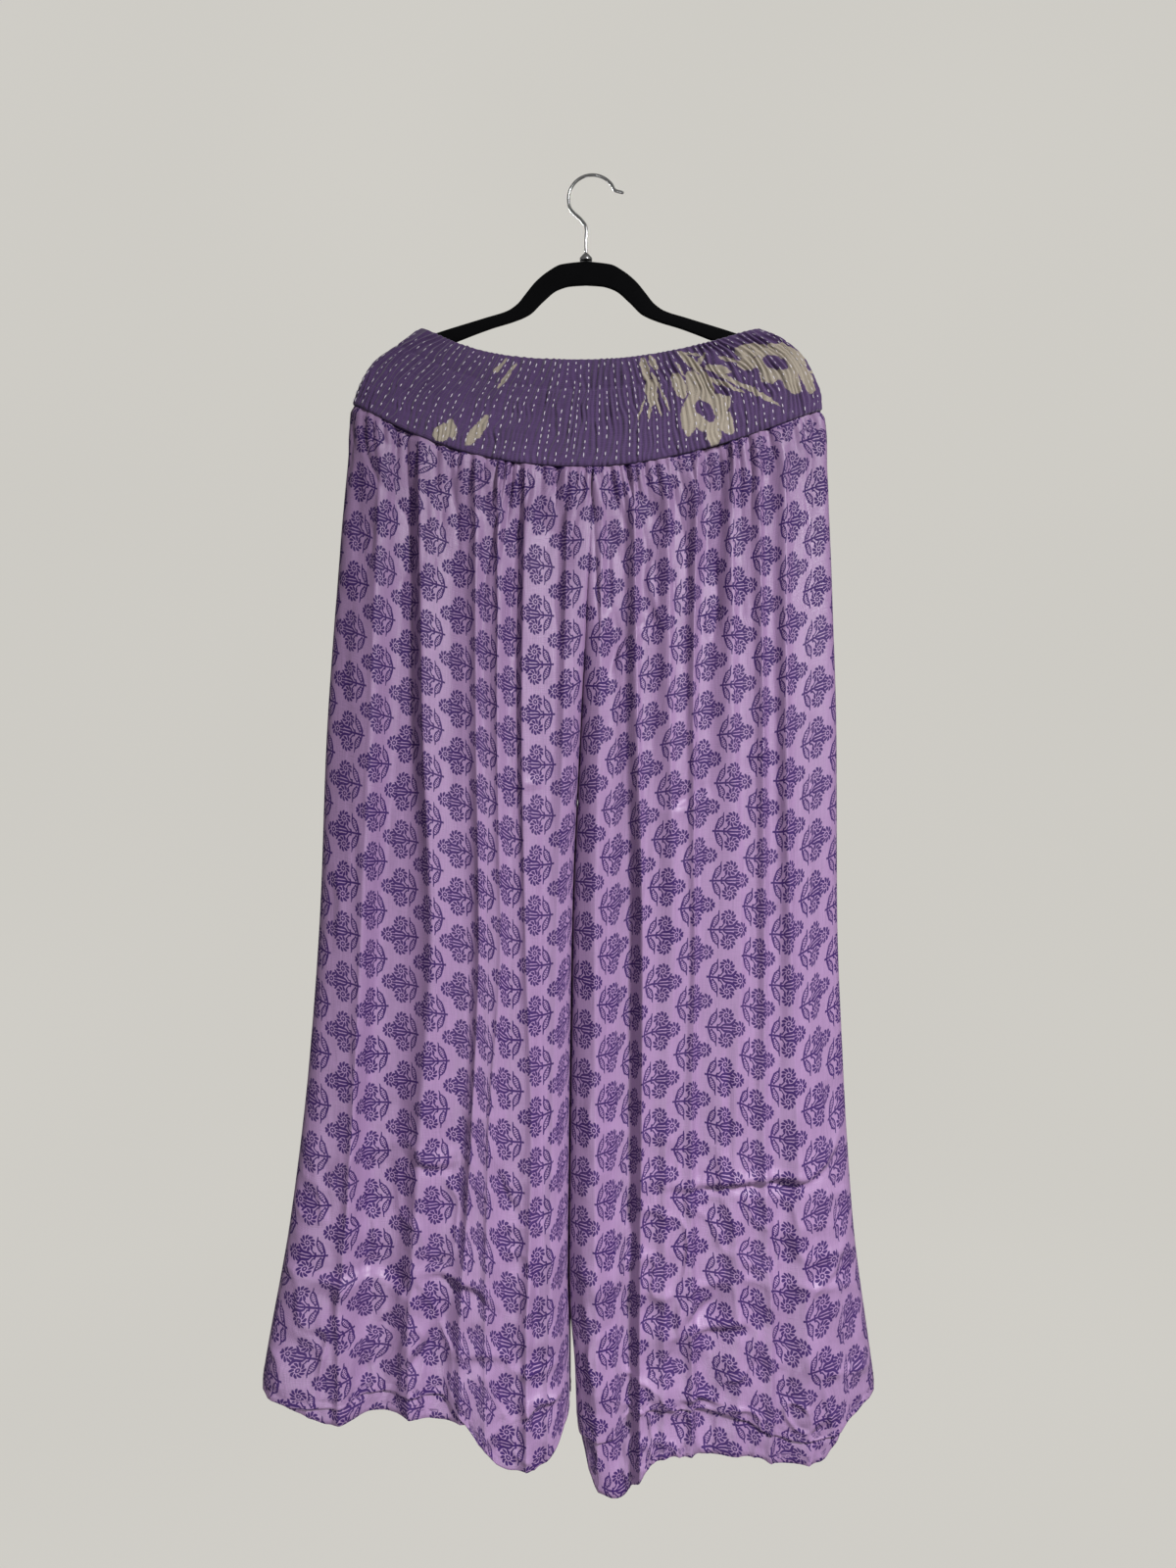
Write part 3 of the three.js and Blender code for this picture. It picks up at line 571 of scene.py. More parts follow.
def grid_mesh(name, rows, flat, closes, material):
    """A smooth mesh of quads from rows of points. Its UV map holds the cloth's flat places in metres."""
    count, columns = rows.shape[:2]
    across = np.arange(columns if closes else columns - 1)
    first = (np.arange(count - 1)[:, None] * columns + across[None]).ravel()
    right = (np.arange(count - 1)[:, None] * columns + ((across + 1) % columns)[None]).ravel()
    faces = np.stack([first, first + columns, right + columns, right], -1)
    wide = flat.shape[1]
    near = (np.arange(count - 1)[:, None] * wide + across[None]).ravel()
    corners = np.stack([near, near + wide, near + wide + 1, near + 1], -1)
    piece = linked_piece(name, rows, faces.tolist(), material)
    layer = piece.data.uv_layers.new(name="ClothFlat")
    layer.data.foreach_set("uv", flat.reshape(-1, 2)[corners.ravel()].astype(np.float32).ravel() * MM)
    return piece


def face_outwards(piece, face=0):
    """Turns a piece's faces over where they look against a panel's face, or to a tube's middle."""
    mesh = piece.data
    middle = sum((vertex.co for vertex in mesh.vertices), Vector()) / len(mesh.vertices)
    total = 0
    for polygon in mesh.polygons:
        away = Vector((0, face, 0)) if face else polygon.center - middle
        total += polygon.area * polygon.normal.to_2d().dot(away.to_2d())
    if total < 0:
        mesh.flip_normals()


def leg_rows():
    """Shares along a leg, closer together at the waist seam and near the hem."""
    top = np.linspace(0, 0.03, 14, endpoint=False)
    middle = np.linspace(0.03, 0.94, 262, endpoint=False)
    return np.concatenate([top, middle, np.linspace(0.94, 1, 36)])


HEM_STITCH_UP = 7
HEM_STITCH_WIDTH = 1.3
HEM_STITCH_DEPTH = 0.45

# Rows of the turned-up hem: how far inside and up they are, how far up as a share of the turning, and
# the share of the turning that the flat cloth has run by then.
HEM_ROWS = [
    (0.35, -0.25, 0, 0.03), (0.8, 0.1, 0, 0.08), (0.9, 0, 0.3, 0.3), (0.8, 0, 0.65, 0.65), (0.7, 0, 1, 1),
]


def hem_groove(from_hem, across, seed):
    """The stitched line of a narrow hem, with small puckers between the stitches."""
    pucker = soft_noise(across / 4 + 30, from_hem / 9, seed) * (1 - eased(from_hem, 9, 20))
    return HEM_STITCH_DEPTH * (pucker - bell(from_hem, HEM_STITCH_UP, HEM_STITCH_WIDTH))


def silk_sheet(panel, along, hem, in_by=0):
    """A panel's rows of points moved in by a distance, its flat places and its hem turned up inside."""
    points, way, along = panel.surface(along, hem)
    out = panel.relief(points, along)
    from_hem = points[-1:, :, 2] * -1 + points[..., 2]
    flat_u = arc_lengths(moved(points, way, out))
    flat_u = flat_u[:, -1:] - flat_u
    typical = flat_u[len(flat_u) * 3 // 5, 0]
    flat_u *= np.sqrt(typical / flat_u[:, :1])
    length = np.mean(-points[-1, :, 2] + points[0, :, 2])
    groove = hem_groove(from_hem, flat_u, panel.seed + 7)
    out = out + groove
    if in_by == 0:
        below_seam = points[:1, :, 2] - points[..., 2]
        out = mix(0.6 * out - 0.6, out, eased(below_seam, -1, 3))
    turn = sizes().hem_turn / MM
    rows = [moved(points, way, out - in_by)]
    for inside, up, share, _ in HEM_ROWS:
        rows.append(moved(points[-1:], way[-1:], out[-1:] - in_by - inside) + [0, 0, up + share * turn])
    rows = np.concatenate(rows)
    down_share = (along[:, 0] - along[0, 0]) / (1 - along[0, 0])
    flat_v = np.concatenate([down_share * length, length + turn * np.array(HEM_ROWS)[:, 3]])
    flat_v = np.broadcast_to(flat_v[:, None], rows.shape[:2])
    flat_u = np.concatenate([flat_u, np.repeat(flat_u[-1:], len(HEM_ROWS), axis=0)])
    return rows, np.stack([flat_u, flat_v], -1)


def flat_size(rows, closes=False):
    """A sheet's mean width and length in metres, all round where it closes."""
    if closes:
        rows = np.concatenate([rows, rows[:, :1]], axis=1)
    width = arc_lengths(rows)[:, -1].mean()
    length = arc_lengths(rows.transpose(1, 0, 2))[:, -1].mean()
    return round(width * MM, 3), round(length * MM, 3)


class Wire:
    """A number that runs through a material's nodes and takes part in sums."""

    def __init__(self, tree, source):
        self.tree, self.source = tree, source

    def choose(self, low, high):
        """High where this is 1 and low where it is 0."""
        return self * (high - low) + low

    def inside(self, softness):
        """1 where this is below zero and 0 where it is above, with a soft edge."""
        soft = {"From_Min": softness, "From_Max": -softness}
        settings = {"interpolation_type": "SMOOTHSTEP"}
        node = add_node(self.tree, "ShaderNodeMapRange", settings, Value=self, **soft)
        return Wire(self.tree, node.outputs["Result"])


def wire_sum(operation):
    """A method that puts a wire and what follows it through one kind of sum."""

    def method(self, *others):
        node = add_node(self.tree, "ShaderNodeMath", {"operation": operation})
        for socket, value in zip(node.inputs, (self, *others)):
            plug(self.tree, socket, value)
        return Wire(self.tree, node.outputs[0])

    return method


WIRE_SUMS = {
    "__add__": "ADD", "__sub__": "SUBTRACT", "__mul__": "MULTIPLY", "__truediv__": "DIVIDE",
    "power": "POWER", "most": "MAXIMUM", "over": "GREATER_THAN", "under": "LESS_THAN",
    "size": "ABSOLUTE", "sign": "SIGN", "fraction": "FRACT", "whole": "FLOOR", "root": "SQRT",
    "arc_tangent": "ARCTAN2", "cosine": "COSINE", "sine": "SINE",
}
for method, operation in WIRE_SUMS.items():
    setattr(Wire, method, wire_sum(operation))


def plug(tree, socket, value):
    """Links a wire or an output to a socket, or sets the socket's own value."""
    if isinstance(value, Wire):
        tree.links.new(value.source, socket)
    elif isinstance(value, bpy.types.NodeSocket):
        tree.links.new(value, socket)
    else:
        socket.default_value = value


def plug_all(tree, node, **inputs):
    """Plugs in a node's inputs by their names, with underscores for spaces."""
    for name, value in inputs.items():
        plug(tree, node.inputs[name.replace("_", " ")], value)
    return node


def add_node(tree, kind, settings=None, **inputs):
    """A node with its settings made and its inputs plugged in."""
    node = tree.nodes.new(kind)
    for name, value in (settings or {}).items():
        setattr(node, name, value)
    return plug_all(tree, node, **inputs)


def effect(name, outputs, place, **numbers):
    """A shader node group that works out numbers from a place, if it has one, and other numbers."""
    tree = bpy.data.node_groups.new(name, "ShaderNodeTree")
    if place:
        tree.interface.new_socket(place, in_out="INPUT", socket_type="NodeSocketVector")
    for label, default in numbers.items():
        label = label.replace("_", " ")
        socket = tree.interface.new_socket(label, in_out="INPUT", socket_type="NodeSocketFloat")
        socket.default_value = default
    for label in outputs:
        tree.interface.new_socket(label, in_out="OUTPUT", socket_type="NodeSocketFloat")
    return tree, tree.nodes.new("NodeGroupInput"), tree.nodes.new("NodeGroupOutput")


def use(tree, make, **inputs):
    """Places an effect in a material or another effect. It is made the first time it is asked for."""
    name = make.__name__.replace("_", " ").capitalize()
    node = tree.nodes.new("ShaderNodeGroup")
    node.node_tree = bpy.data.node_groups.get(name) or make()
    return plug_all(tree, node, **inputs)


def split(tree, vector):
    node = add_node(tree, "ShaderNodeSeparateXYZ", Vector=vector)
    return Wire(tree, node.outputs["X"]), Wire(tree, node.outputs["Y"]), Wire(tree, node.outputs["Z"])


def join(tree, x, y, z=0.0):
    return add_node(tree, "ShaderNodeCombineXYZ", X=x, Y=y, Z=z).outputs[0]


def mixed(tree, factor, a, b):
    """Two colours mixed by a factor."""
    node = add_node(tree, "ShaderNodeMix", {"data_type": "RGBA"})
    for socket, value in zip((node.inputs[0], node.inputs[6], node.inputs[7]), (factor, a, b)):
        plug(tree, socket, value)
    return node.outputs[2]


def noise_of(tree, vector, scale, detail=2.0, roughness=0.5):
    look = {"Scale": scale, "Detail": detail, "Roughness": roughness}
    return Wire(tree, add_node(tree, "ShaderNodeTexNoise", Vector=vector, **look).outputs["Fac"])


# How far apart the sprigs' columns and rows are. Every other column is half a row lower.
SPRIG_REPEAT = (66.0, 46.6)


def sprig_print():
    """Small printed sprigs on the flat cloth, each with three daisies, two leaves and a stem."""
    tree, given, result = effect("Sprig print", ["Ink"], "Flat")
    u, v, _ = split(tree, given.outputs["Flat"])
    u, v = u * 1000, v * 1000
    place = join(tree, u, v)
    wobble = add_node(tree, "ShaderNodeTexNoise", Vector=place, Scale=0.22, Detail=2.0, Roughness=0.6)
    wobble_x, wobble_y, _ = split(tree, wobble.outputs["Color"])
    column, row = u / SPRIG_REPEAT[0], v / SPRIG_REPEAT[1]
    a = column.fraction() - 0.5
    b = row.fraction() - 0.5
    other = (a.size() + b.size()).over(0.5)
    cell = join(tree, column.whole() + other * a.sign() * 0.5, row.whole() + other * b.sign() * 0.5)
    a = a - other * a.sign() * 0.5
    b = b - other * b.sign() * 0.5
    chance = add_node(tree, "ShaderNodeTexWhiteNoise", {"noise_dimensions": "2D"}, Vector=cell)
    lean, _, _ = split(tree, chance.outputs["Color"])
    lean = (lean - 0.5) * 0.16
    p = a * -SPRIG_REPEAT[0] + (wobble_x - 0.5) * 0.8
    q = b * SPRIG_REPEAT[1] + (wobble_y - 0.5) * 0.8
    s = (q + p * lean).size()

    p = p + 2
    soft = 0.2
    # The nearest of three daisies: ten petals that swirl round a ring.
    at_tip = ((p + 12.4).power(2) + s.power(2)).under(p.power(2) + (s - 11.8).power(2))
    dx = p - at_tip.choose(0.0, -12.4)
    dy = s - at_tip.choose(11.8, 0.0)
    r = (dx * dx + dy * dy).root()
    turn = dy.arc_tangent(dx) + r * 0.08
    lateral = ((turn * (10 / (2 * math.pi))).fraction() - 0.5) * (2 * math.pi / 10) * r
    petals = (lateral / (r * 0.17 + 0.46)).power(2) + ((r - 5.2) / 2.25).power(2) - 1
    ink = petals.inside(0.3).most(((r - 1.5).size() - 0.68).inside(soft))

    # The stem with its cross bar, and a bowed branch and a stalk to each side daisy.
    stem = (s - 1.0).inside(soft) * ((p - 6.4).size() - 13.4).inside(soft)
    bar = ((p - 8.5 + s * 0.3).size() - 0.95).inside(soft) * (s - 3.4).inside(soft)
    bow = (p + 1.5) / ((p + 1.5).over(0).choose(5.6, 6.5))
    bowed = bow * bow * bow * -2.8 + 3.3
    thick = (p * -1 - 4).most(0) * 0.24 - p.most(0) * 0.09 + 1.3
    branch = ((s - bowed).size() - thick).inside(soft) * (s - 8.8).inside(soft) * (p - 5.2).inside(soft)
    stalk = ((p + s * 0.745 - 8.2).size() * 0.8 - 0.6).inside(soft)
    stalk = stalk * ((s - 4.4).size() - 2.4).inside(soft)

    # A long barb past each leaf, and a small one below it.
    barb = p - 16.9 + s * 0.2 + s * s * 0.006
    barb = (barb.size() - 1.1 + (s - 4.5).size() * 0.07).inside(soft) * (s - 12).inside(soft)
    small = ((p - 13.6).power(2) + (s - 2.3).power(2) - 0.9).inside(0.3)

    # A leaf on each side: an outline, two rows of dots and a drawn-out tip.
    along = (p - 12.1) * -0.384 + (s - 8.3) * 0.923
    across = ((p - 12.1) * 0.923 + (s - 8.3) * 0.384).size()
    reach = ((along / 6.4).power(2) * -1 + 1).most(0).power(0.75) * 2.5
    edge = ((across - reach).size() - 0.68).inside(soft) * (along.size() - 6.5).inside(soft)
    step = ((along / 2.0).fraction() - 0.5) * 2.0
    dots = (step * step + (across - 0.95).power(2) - 0.42).inside(0.15) * (across - reach).inside(soft)
    tip = (p - 9.6 + (s - 13.5) * 0.12).size() + (s - 13.2) * 0.09 - 0.9
    tip = tip.inside(soft) * ((s - 15.6).size() - 2.9).inside(soft)
    for part in (stem, bar, branch, stalk, barb, small, edge, dots, tip):
        ink = ink.most(part)

    patchy = noise_of(tree, place, 0.35, 3.0, 0.6)
    strength = Wire(tree, chance.outputs["Value"]) * 0.05 + 0.95
    ink = ink * (strength - (patchy - 0.6).most(0) * 0.9)
    plug_all(tree, result, Ink=ink)
    return tree


def weave():
    """Crossed threads of a plain weave that vary in thickness, with slubs along the warp."""
    tree, given, result = effect("Weave", ["Height", "Streaks"], "Flat", Threads=1400.0, Slubs=0.5)
    u, v, _ = split(tree, given.outputs["Flat"])
    threads = Wire(tree, given.outputs["Threads"])
    warp = noise_of(tree, join(tree, u * threads, v * 60), 1.0, 1.0)
    weft = noise_of(tree, join(tree, u * 80, v * threads), 1.0, 1.0)
    slub = noise_of(tree, join(tree, u * 420, v * 22), 1.0, 2.0, 0.6)
    slubs = Wire(tree, given.outputs["Slubs"])
    streaks = warp * 0.35 + weft * 0.25 + slub * 0.4
    plug_all(tree, result, Height=warp + weft + slub * slubs, Streaks=streaks)
    return tree


def petal_shape():
    """A soft-edged oval on the waistband, by its centre, angle, half length and half width in mm."""
    oval = {"Centre_X": 0.0, "Centre_Y": 0.0, "Angle": 0.0, "Length": 10.0, "Width": 4.0}
    tree, given, result = effect("Petal shape", ["Shape"], "Place", **oval)
    x, y, _ = split(tree, given.outputs["Place"])
    value = lambda name: Wire(tree, given.outputs[name])
    dx, dy = x - value("Centre X"), y - value("Centre Y")
    cos, sin = value("Angle").cosine(), value("Angle").sine()
    along = (dx * cos + dy * sin) / value("Length")
    across = (dy * cos - dx * sin) / value("Width")
    pointed = across.size() / (along * -0.12 + 0.98)
    plug_all(tree, result, Shape=(along.power(2) + pointed.power(2) - 1).inside(0.12))
    return tree


# Ovals of the waistband's print: centre across and down, angle in degrees, half length, half width.
BLOSSOM_PETALS = [
    (88, 38, 90, 14, 6.5), (103, 41, -85, 16, 9), (112, 45, -75, 13, 7), (119, 66, 0, 10, 9.5),
    (122, 86, 75, 14, 6.5), (110, 92, 88, 14, 7), (90, 72, 95, 17, 8), (105, 68, 80, 23, 16),
    (171, 26, 15, 16, 9), (196, 37, 30, 13, 9), (204, 49, 90, 11, 9), (201, 72, 88, 15, 6.5),
    (186, 71, 85, 12, 7.5), (160, 38, 20, 11, 7.5), (170, 56, 30, 9, 8.5), (184, 49, 45, 20, 18),
]
BLOSSOM_CENTRES = [(105, 69, 64, 12.9, 6.2), (181, 47, 50, 11.5, 7.5)]
LEAF_SPRAYS = [
    (60, 15, 95, 13, 4.5), (71, 10, 88, 9, 4), (67, 28, 80, 9, 2.6), (60, 39, 92, 14, 6),
    (56, 56, 105, 9, 1.5), (64, 55, 84, 9, 1.4), (71, 48, 80, 12, 1.5), (48, 54, 112, 10, 1.3),
    (110, 19, 69, 18, 5),
    (128, 49, 44, 20, 2.4), (145, 58, 50, 40, 2.3), (130, 33, 35, 12, 5), (122, 17, -30, 9, 2),
    (116, 9, 30, 8, 1.8), (146, 27, 45, 11, 2.2), (96, 22, 80, 9, 1.6), (212, 66, 3, 10, 1.7),
    (-124, 92, -70, 12, 7), (-118, 86, -110, 11, 5), (-96, 80, -72, 19, 5), (-89, 20, -75, 14, 3),
    (-101, 12, -70, 9, 2.5),
]


def blossom_print():
    """Large pale blossoms and leaf sprays on the waistband."""
    tree, given, result = effect("Blossom print", ["Print"], "Flat")
    u, v, _ = split(tree, given.outputs["Flat"])
    place = join(tree, u * 1000, v * 1000)
    rough = add_node(tree, "ShaderNodeTexNoise", Vector=place, Scale=0.16, Detail=3.0, Roughness=0.65)
    sway = rough.outputs["Color"]
    shift = add_node(tree, "ShaderNodeVectorMath", {"operation": "MULTIPLY_ADD"}, Vector=sway)
    shift.inputs[1].default_value = (6, 9, 0)
    plug(tree, shift.inputs[2], place)
    frayed = add_node(tree, "ShaderNodeVectorMath", {"operation": "SUBTRACT"}, Vector=shift.outputs[0])
    frayed.inputs[1].default_value = (3, 4.5, 0)

    def ovals(rows):
        total = None
        for x, y, degrees, length, width in rows:
            oval = {"Centre_X": x, "Centre_Y": y, "Angle": math.radians(degrees)}
            node = use(tree, petal_shape, Place=frayed.outputs[0], Length=length, Width=width, **oval)
            shape = Wire(tree, node.outputs["Shape"])
            total = shape if total is None else total.most(shape)
        return total

    flowers = ovals(BLOSSOM_PETALS) * (ovals(BLOSSOM_CENTRES) * -1 + 1)
    plug_all(tree, result, Print=flowers.most(ovals(LEAF_SPRAYS)))
    return tree


def object_place(tree):
    return add_node(tree, "ShaderNodeTexCoord").outputs["Object"]


def fibre_noise():
    """Fine fuzz for flock, thread and steel, as a value from 0 to 1."""
    tree, given, result = effect("Fibre noise", ["Value"], None, Scale=4000.0, Detail=3.0)
    place = object_place(tree)
    scale, detail = given.outputs["Scale"], given.outputs["Detail"]
    plug_all(tree, result, Value=noise_of(tree, place, scale, detail, 0.7))
    return tree


def new_material(name):
    """A material with only a Principled shader and its output."""
    material = bpy.data.materials.new(name)
    material.use_nodes = True
    tree = material.node_tree
    shader = next(node for node in tree.nodes if node.type == "BSDF_PRINCIPLED")
    return material, tree, shader


def flat_place(tree):
    return add_node(tree, "ShaderNodeUVMap", {"uv_map": "ClothFlat"}).outputs["UV"]


def bumped(tree, height, distance):
    return add_node(tree, "ShaderNodeBump", Height=height, Distance=distance).outputs["Normal"]


def tinted(colour, share=1):
    """A colour made darker or lighter, with its alpha."""
    return (*(min(value * share, 1) for value in colour), 1)


def silk_material():
    """Thin lavender silk with its block print, paler on the inside."""
    if "Printed silk" in bpy.data.materials:
        return bpy.data.materials["Printed silk"]
    material, tree, shader = new_material("Printed silk")
    flat = flat_place(tree)
    ink = use(tree, sprig_print, Flat=flat)
    cloth = use(tree, weave, Flat=flat, Threads=1500.0, Slubs=0.9)
    streaks = Wire(tree, cloth.outputs["Streaks"])
    u, v, _ = split(tree, flat)
    patches = noise_of(tree, join(tree, u, v), 9.0, 3.0)
    silk = colours().silk
    base = mixed(tree, (streaks - 0.3) * 2.2, tinted(silk, 0.74), tinted(silk, 1.1))
    base = mixed(tree, (patches - 0.35) * 1.2, base, tinted(silk))
    inside = Wire(tree, add_node(tree, "ShaderNodeNewGeometry").outputs["Backfacing"])
    strength = Wire(tree, ink.outputs["Ink"]) * (inside * -0.45 + 1)
    base = mixed(tree, strength, base, tinted(colours().ink))
    rough = streaks * 0.22 + 0.3 + strength * 0.35
    normal = bumped(tree, cloth.outputs["Height"], 0.00025)
    plug_all(tree, shader, Base_Color=base, Roughness=rough, Normal=normal)
    plug_all(tree, shader, Specular_IOR_Level=0.5, Sheen_Weight=0.04, Sheen_Roughness=0.35)
    return material


def cotton_material():
    """Washed purple cotton with a pale blossom print."""
    material, tree, shader = new_material("Shirred cotton")
    flat = flat_place(tree)
    flowers = use(tree, blossom_print, Flat=flat)
    cloth = use(tree, weave, Flat=flat, Threads=1100.0, Slubs=0.4)
    streaks = Wire(tree, cloth.outputs["Streaks"])
    u, v, _ = split(tree, flat)
    patches = noise_of(tree, join(tree, u, v), 26.0, 4.0, 0.6)
    cotton, blossom = colours().cotton, colours().blossom
    ground = mixed(tree, streaks * 0.9 + patches * 0.7 - 0.3, tinted(cotton, 0.72), tinted(cotton, 1.3))
    pale = mixed(tree, streaks + patches * 0.5 - 0.3, tinted(blossom, 0.75), tinted(blossom, 1.12))
    base = mixed(tree, flowers.outputs["Print"], ground, pale)
    normal = bumped(tree, cloth.outputs["Height"], 0.0005)
    rough = streaks * 0.15 + 0.8
    plug_all(tree, shader, Base_Color=base, Roughness=rough, Normal=normal)
    plug_all(tree, shader, Specular_IOR_Level=0.25, Sheen_Weight=0.25, Sheen_Roughness=0.6)
    return material


def thread_material():
    """Pale twisted thread."""
    material, tree, shader = new_material("Pale thread")
    fuzz = use(tree, fibre_noise, Scale=2600.0, Detail=2.0)
    base = mixed(tree, fuzz.outputs["Value"], tinted(colours().thread, 0.8), tinted(colours().thread))
    normal = bumped(tree, fuzz.outputs["Value"], 0.0002)
    plug_all(tree, shader, Base_Color=base, Roughness=0.7, Normal=normal)
    return material


def flock_material():
    """Short black flock with a faint nap."""
    material, tree, shader = new_material("Black flock")
    fuzz = use(tree, fibre_noise, Scale=3200.0, Detail=4.0)
    nap = use(tree, fibre_noise, Scale=70.0, Detail=3.0)
    value = Wire(tree, fuzz.outputs["Value"]) * 0.5 + Wire(tree, nap.outputs["Value"]) * 0.5
    base = mixed(tree, value, (0.001, 0.001, 0.0012, 1), (0.004, 0.004, 0.005, 1))
    normal = bumped(tree, fuzz.outputs["Value"], 0.0004)
    plug_all(tree, shader, Base_Color=base, Roughness=0.95, Normal=normal)
    plug_all(tree, shader, Specular_IOR_Level=0.1, Sheen_Weight=0.03, Sheen_Roughness=0.5)
    return material


def steel_material():
    """Bright plated wire with fine drawing marks."""
    material, tree, shader = new_material("Hook steel")
    marks = use(tree, fibre_noise, Scale=900.0, Detail=4.0)
    value = Wire(tree, marks.outputs["Value"])
    base = mixed(tree, value, (0.52, 0.52, 0.53, 1), (0.74, 0.74, 0.75, 1))
    normal = bumped(tree, value, 0.00004)
    plug_all(tree, shader, Base_Color=base, Roughness=value * 0.22 + 0.12, Normal=normal, Metallic=1)
    return material


def backdrop_material():
    """An even pale backdrop that is softly lit from within, so that no lamp leaves an edge on it."""
    material, tree, shader = new_material("Pale backdrop")
    place = object_place(tree)
    value = noise_of(tree, place, 0.7, 1.0)
    backdrop = colours().backdrop
    glow = mixed(tree, value, tinted(backdrop, 0.93), tinted(backdrop))
    plug_all(tree, shader, Emission_Color=glow, Emission_Strength=0.82)
    plug_all(tree, shader, Base_Color=(0.12, 0.12, 0.11, 1), Roughness=0.9, Specular_IOR_Level=0.1)
    return material


def finish_piece(piece, node):
    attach(piece, "root")
    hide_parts(node)


# Where the prints start on each cloth, in millimetres, and the size of the waistband's print.
FRONT_PRINT_AT = 8.0
INNER_PRINT_AT = 17.0
BAND_PRINT_SIZE = (430, 105)


class TROUSERS_OT_silk_legs(bpy.types.Operator):
    """Build the outer silk layer of both legs"""

    bl_idname = "trousers.silk_legs"
    bl_label = "Silk Legs"

    def execute(self, context):
        fronts = {}
        for panel in PANELS:
            rows, flat = silk_sheet(panel, leg_rows(), panel.hem)
            if panel.face < 0:
                flat[..., 0] += FRONT_PRINT_AT
                fronts[panel.side] = flat
            else:
                # The print runs on round the side fold.
                front = fronts[panel.side]
                flat[..., 0] = front[:, :1, 0] + flat[:, :1, 0] - flat[..., 0]
                flat[..., 1] = front[:, :1, 1]
            piece = grid_mesh(f"silk_{panel.name}", rows, flat, False, silk_material())
            face_outwards(piece, panel.face)
            finish_piece(piece, panel.name)
            flat_size(rows)
        return {"FINISHED"}


class TROUSERS_OT_inner_silk(bpy.types.Operator):
    """Build the second silk layer that hangs inside each leg"""

    bl_idname = "trousers.inner_silk"
    bl_label = "Inner Silk"

    def execute(self, context):
        along = leg_rows()
        along = along[along >= INNER_LAYER_FROM][::2]
        along[-1] = 1
        for side, hem in (("left", INNER_LEFT_HEM), ("right", INNER_RIGHT_HEM)):
            (front_rows, front_flat), (back_rows, back_flat) = (
                silk_sheet(panel, along, hem, LAYER_OFFSET) for panel in PANELS if panel.side == side
            )
            rows = np.concatenate([front_rows, back_rows[:, ::-1]], axis=1)
            flat = np.concatenate([front_flat, back_flat[:, ::-1] * [-1, 1], front_flat[:, :1]], axis=1)
            flat[:, -1, 0] = flat[:, -2, 0] - 2
            flat += INNER_PRINT_AT
            piece = grid_mesh(f"silk_inner_leg_{side}", rows, flat, True, silk_material())
            face_outwards(piece)
            finish_piece(piece, f"inner_leg_{side}")
            size = flat_size(rows, closes=True)
        return {"FINISHED"}


def band_ring(row, columns):
    """A row round the waistband, with its ways out, evenly spaced on each side."""
    left, right = (float(at_place(BAND_ROWS, side, row)) for side in ("left", "right"))
    x = mix(left, right, (1 - np.cos(np.pi * np.linspace(0, 1, 481))) / 2)
    sides = []
    for face, name in ((-1, "front"), (1, "back")):
        round_off = turned(np.minimum(x - left, right - x), at_place(BAND_FORM, "shoulder", row))
        y = face * at_place(BAND_FORM, name, row) * round_off
        line = np.stack([x, y, -band_down(row, x)], -1)
        if face > 0:
            line = line[::-1]
        length = arc_lengths(line[None])[0]
        at = length[-1] * np.arange(columns // 2) / (columns // 2)
        sides.append(np.stack([np.interp(at, length, line[:, k]) for k in range(3)], -1))
    ring = np.concatenate(sides)
    return ring, ways_out(np.roll(ring, -1, axis=0) - np.roll(ring, 1, axis=0))


# Rows of the turned edges, as a place between the top edge and the seam and a depth behind the face.
BAND_TOP_ROWS = [(0.24, 2.6), (0.16, 2.5), (0.08, 2.4), (0.02, 2.1), (0.004, 1.5), (-0.004, 0.8)]
BAND_SEAM_ROWS = [(0.998, 0.6), (1.0, 1.4), (1.0, 2.3)]
ELASTIC_PITCH = 0.0915
ELASTIC_DEPTH = 0.35
CASING_PUFF = 0.9

# The middle and the half width of the front casing's plain place.
PLAIN_PLACE = (-12, 16)


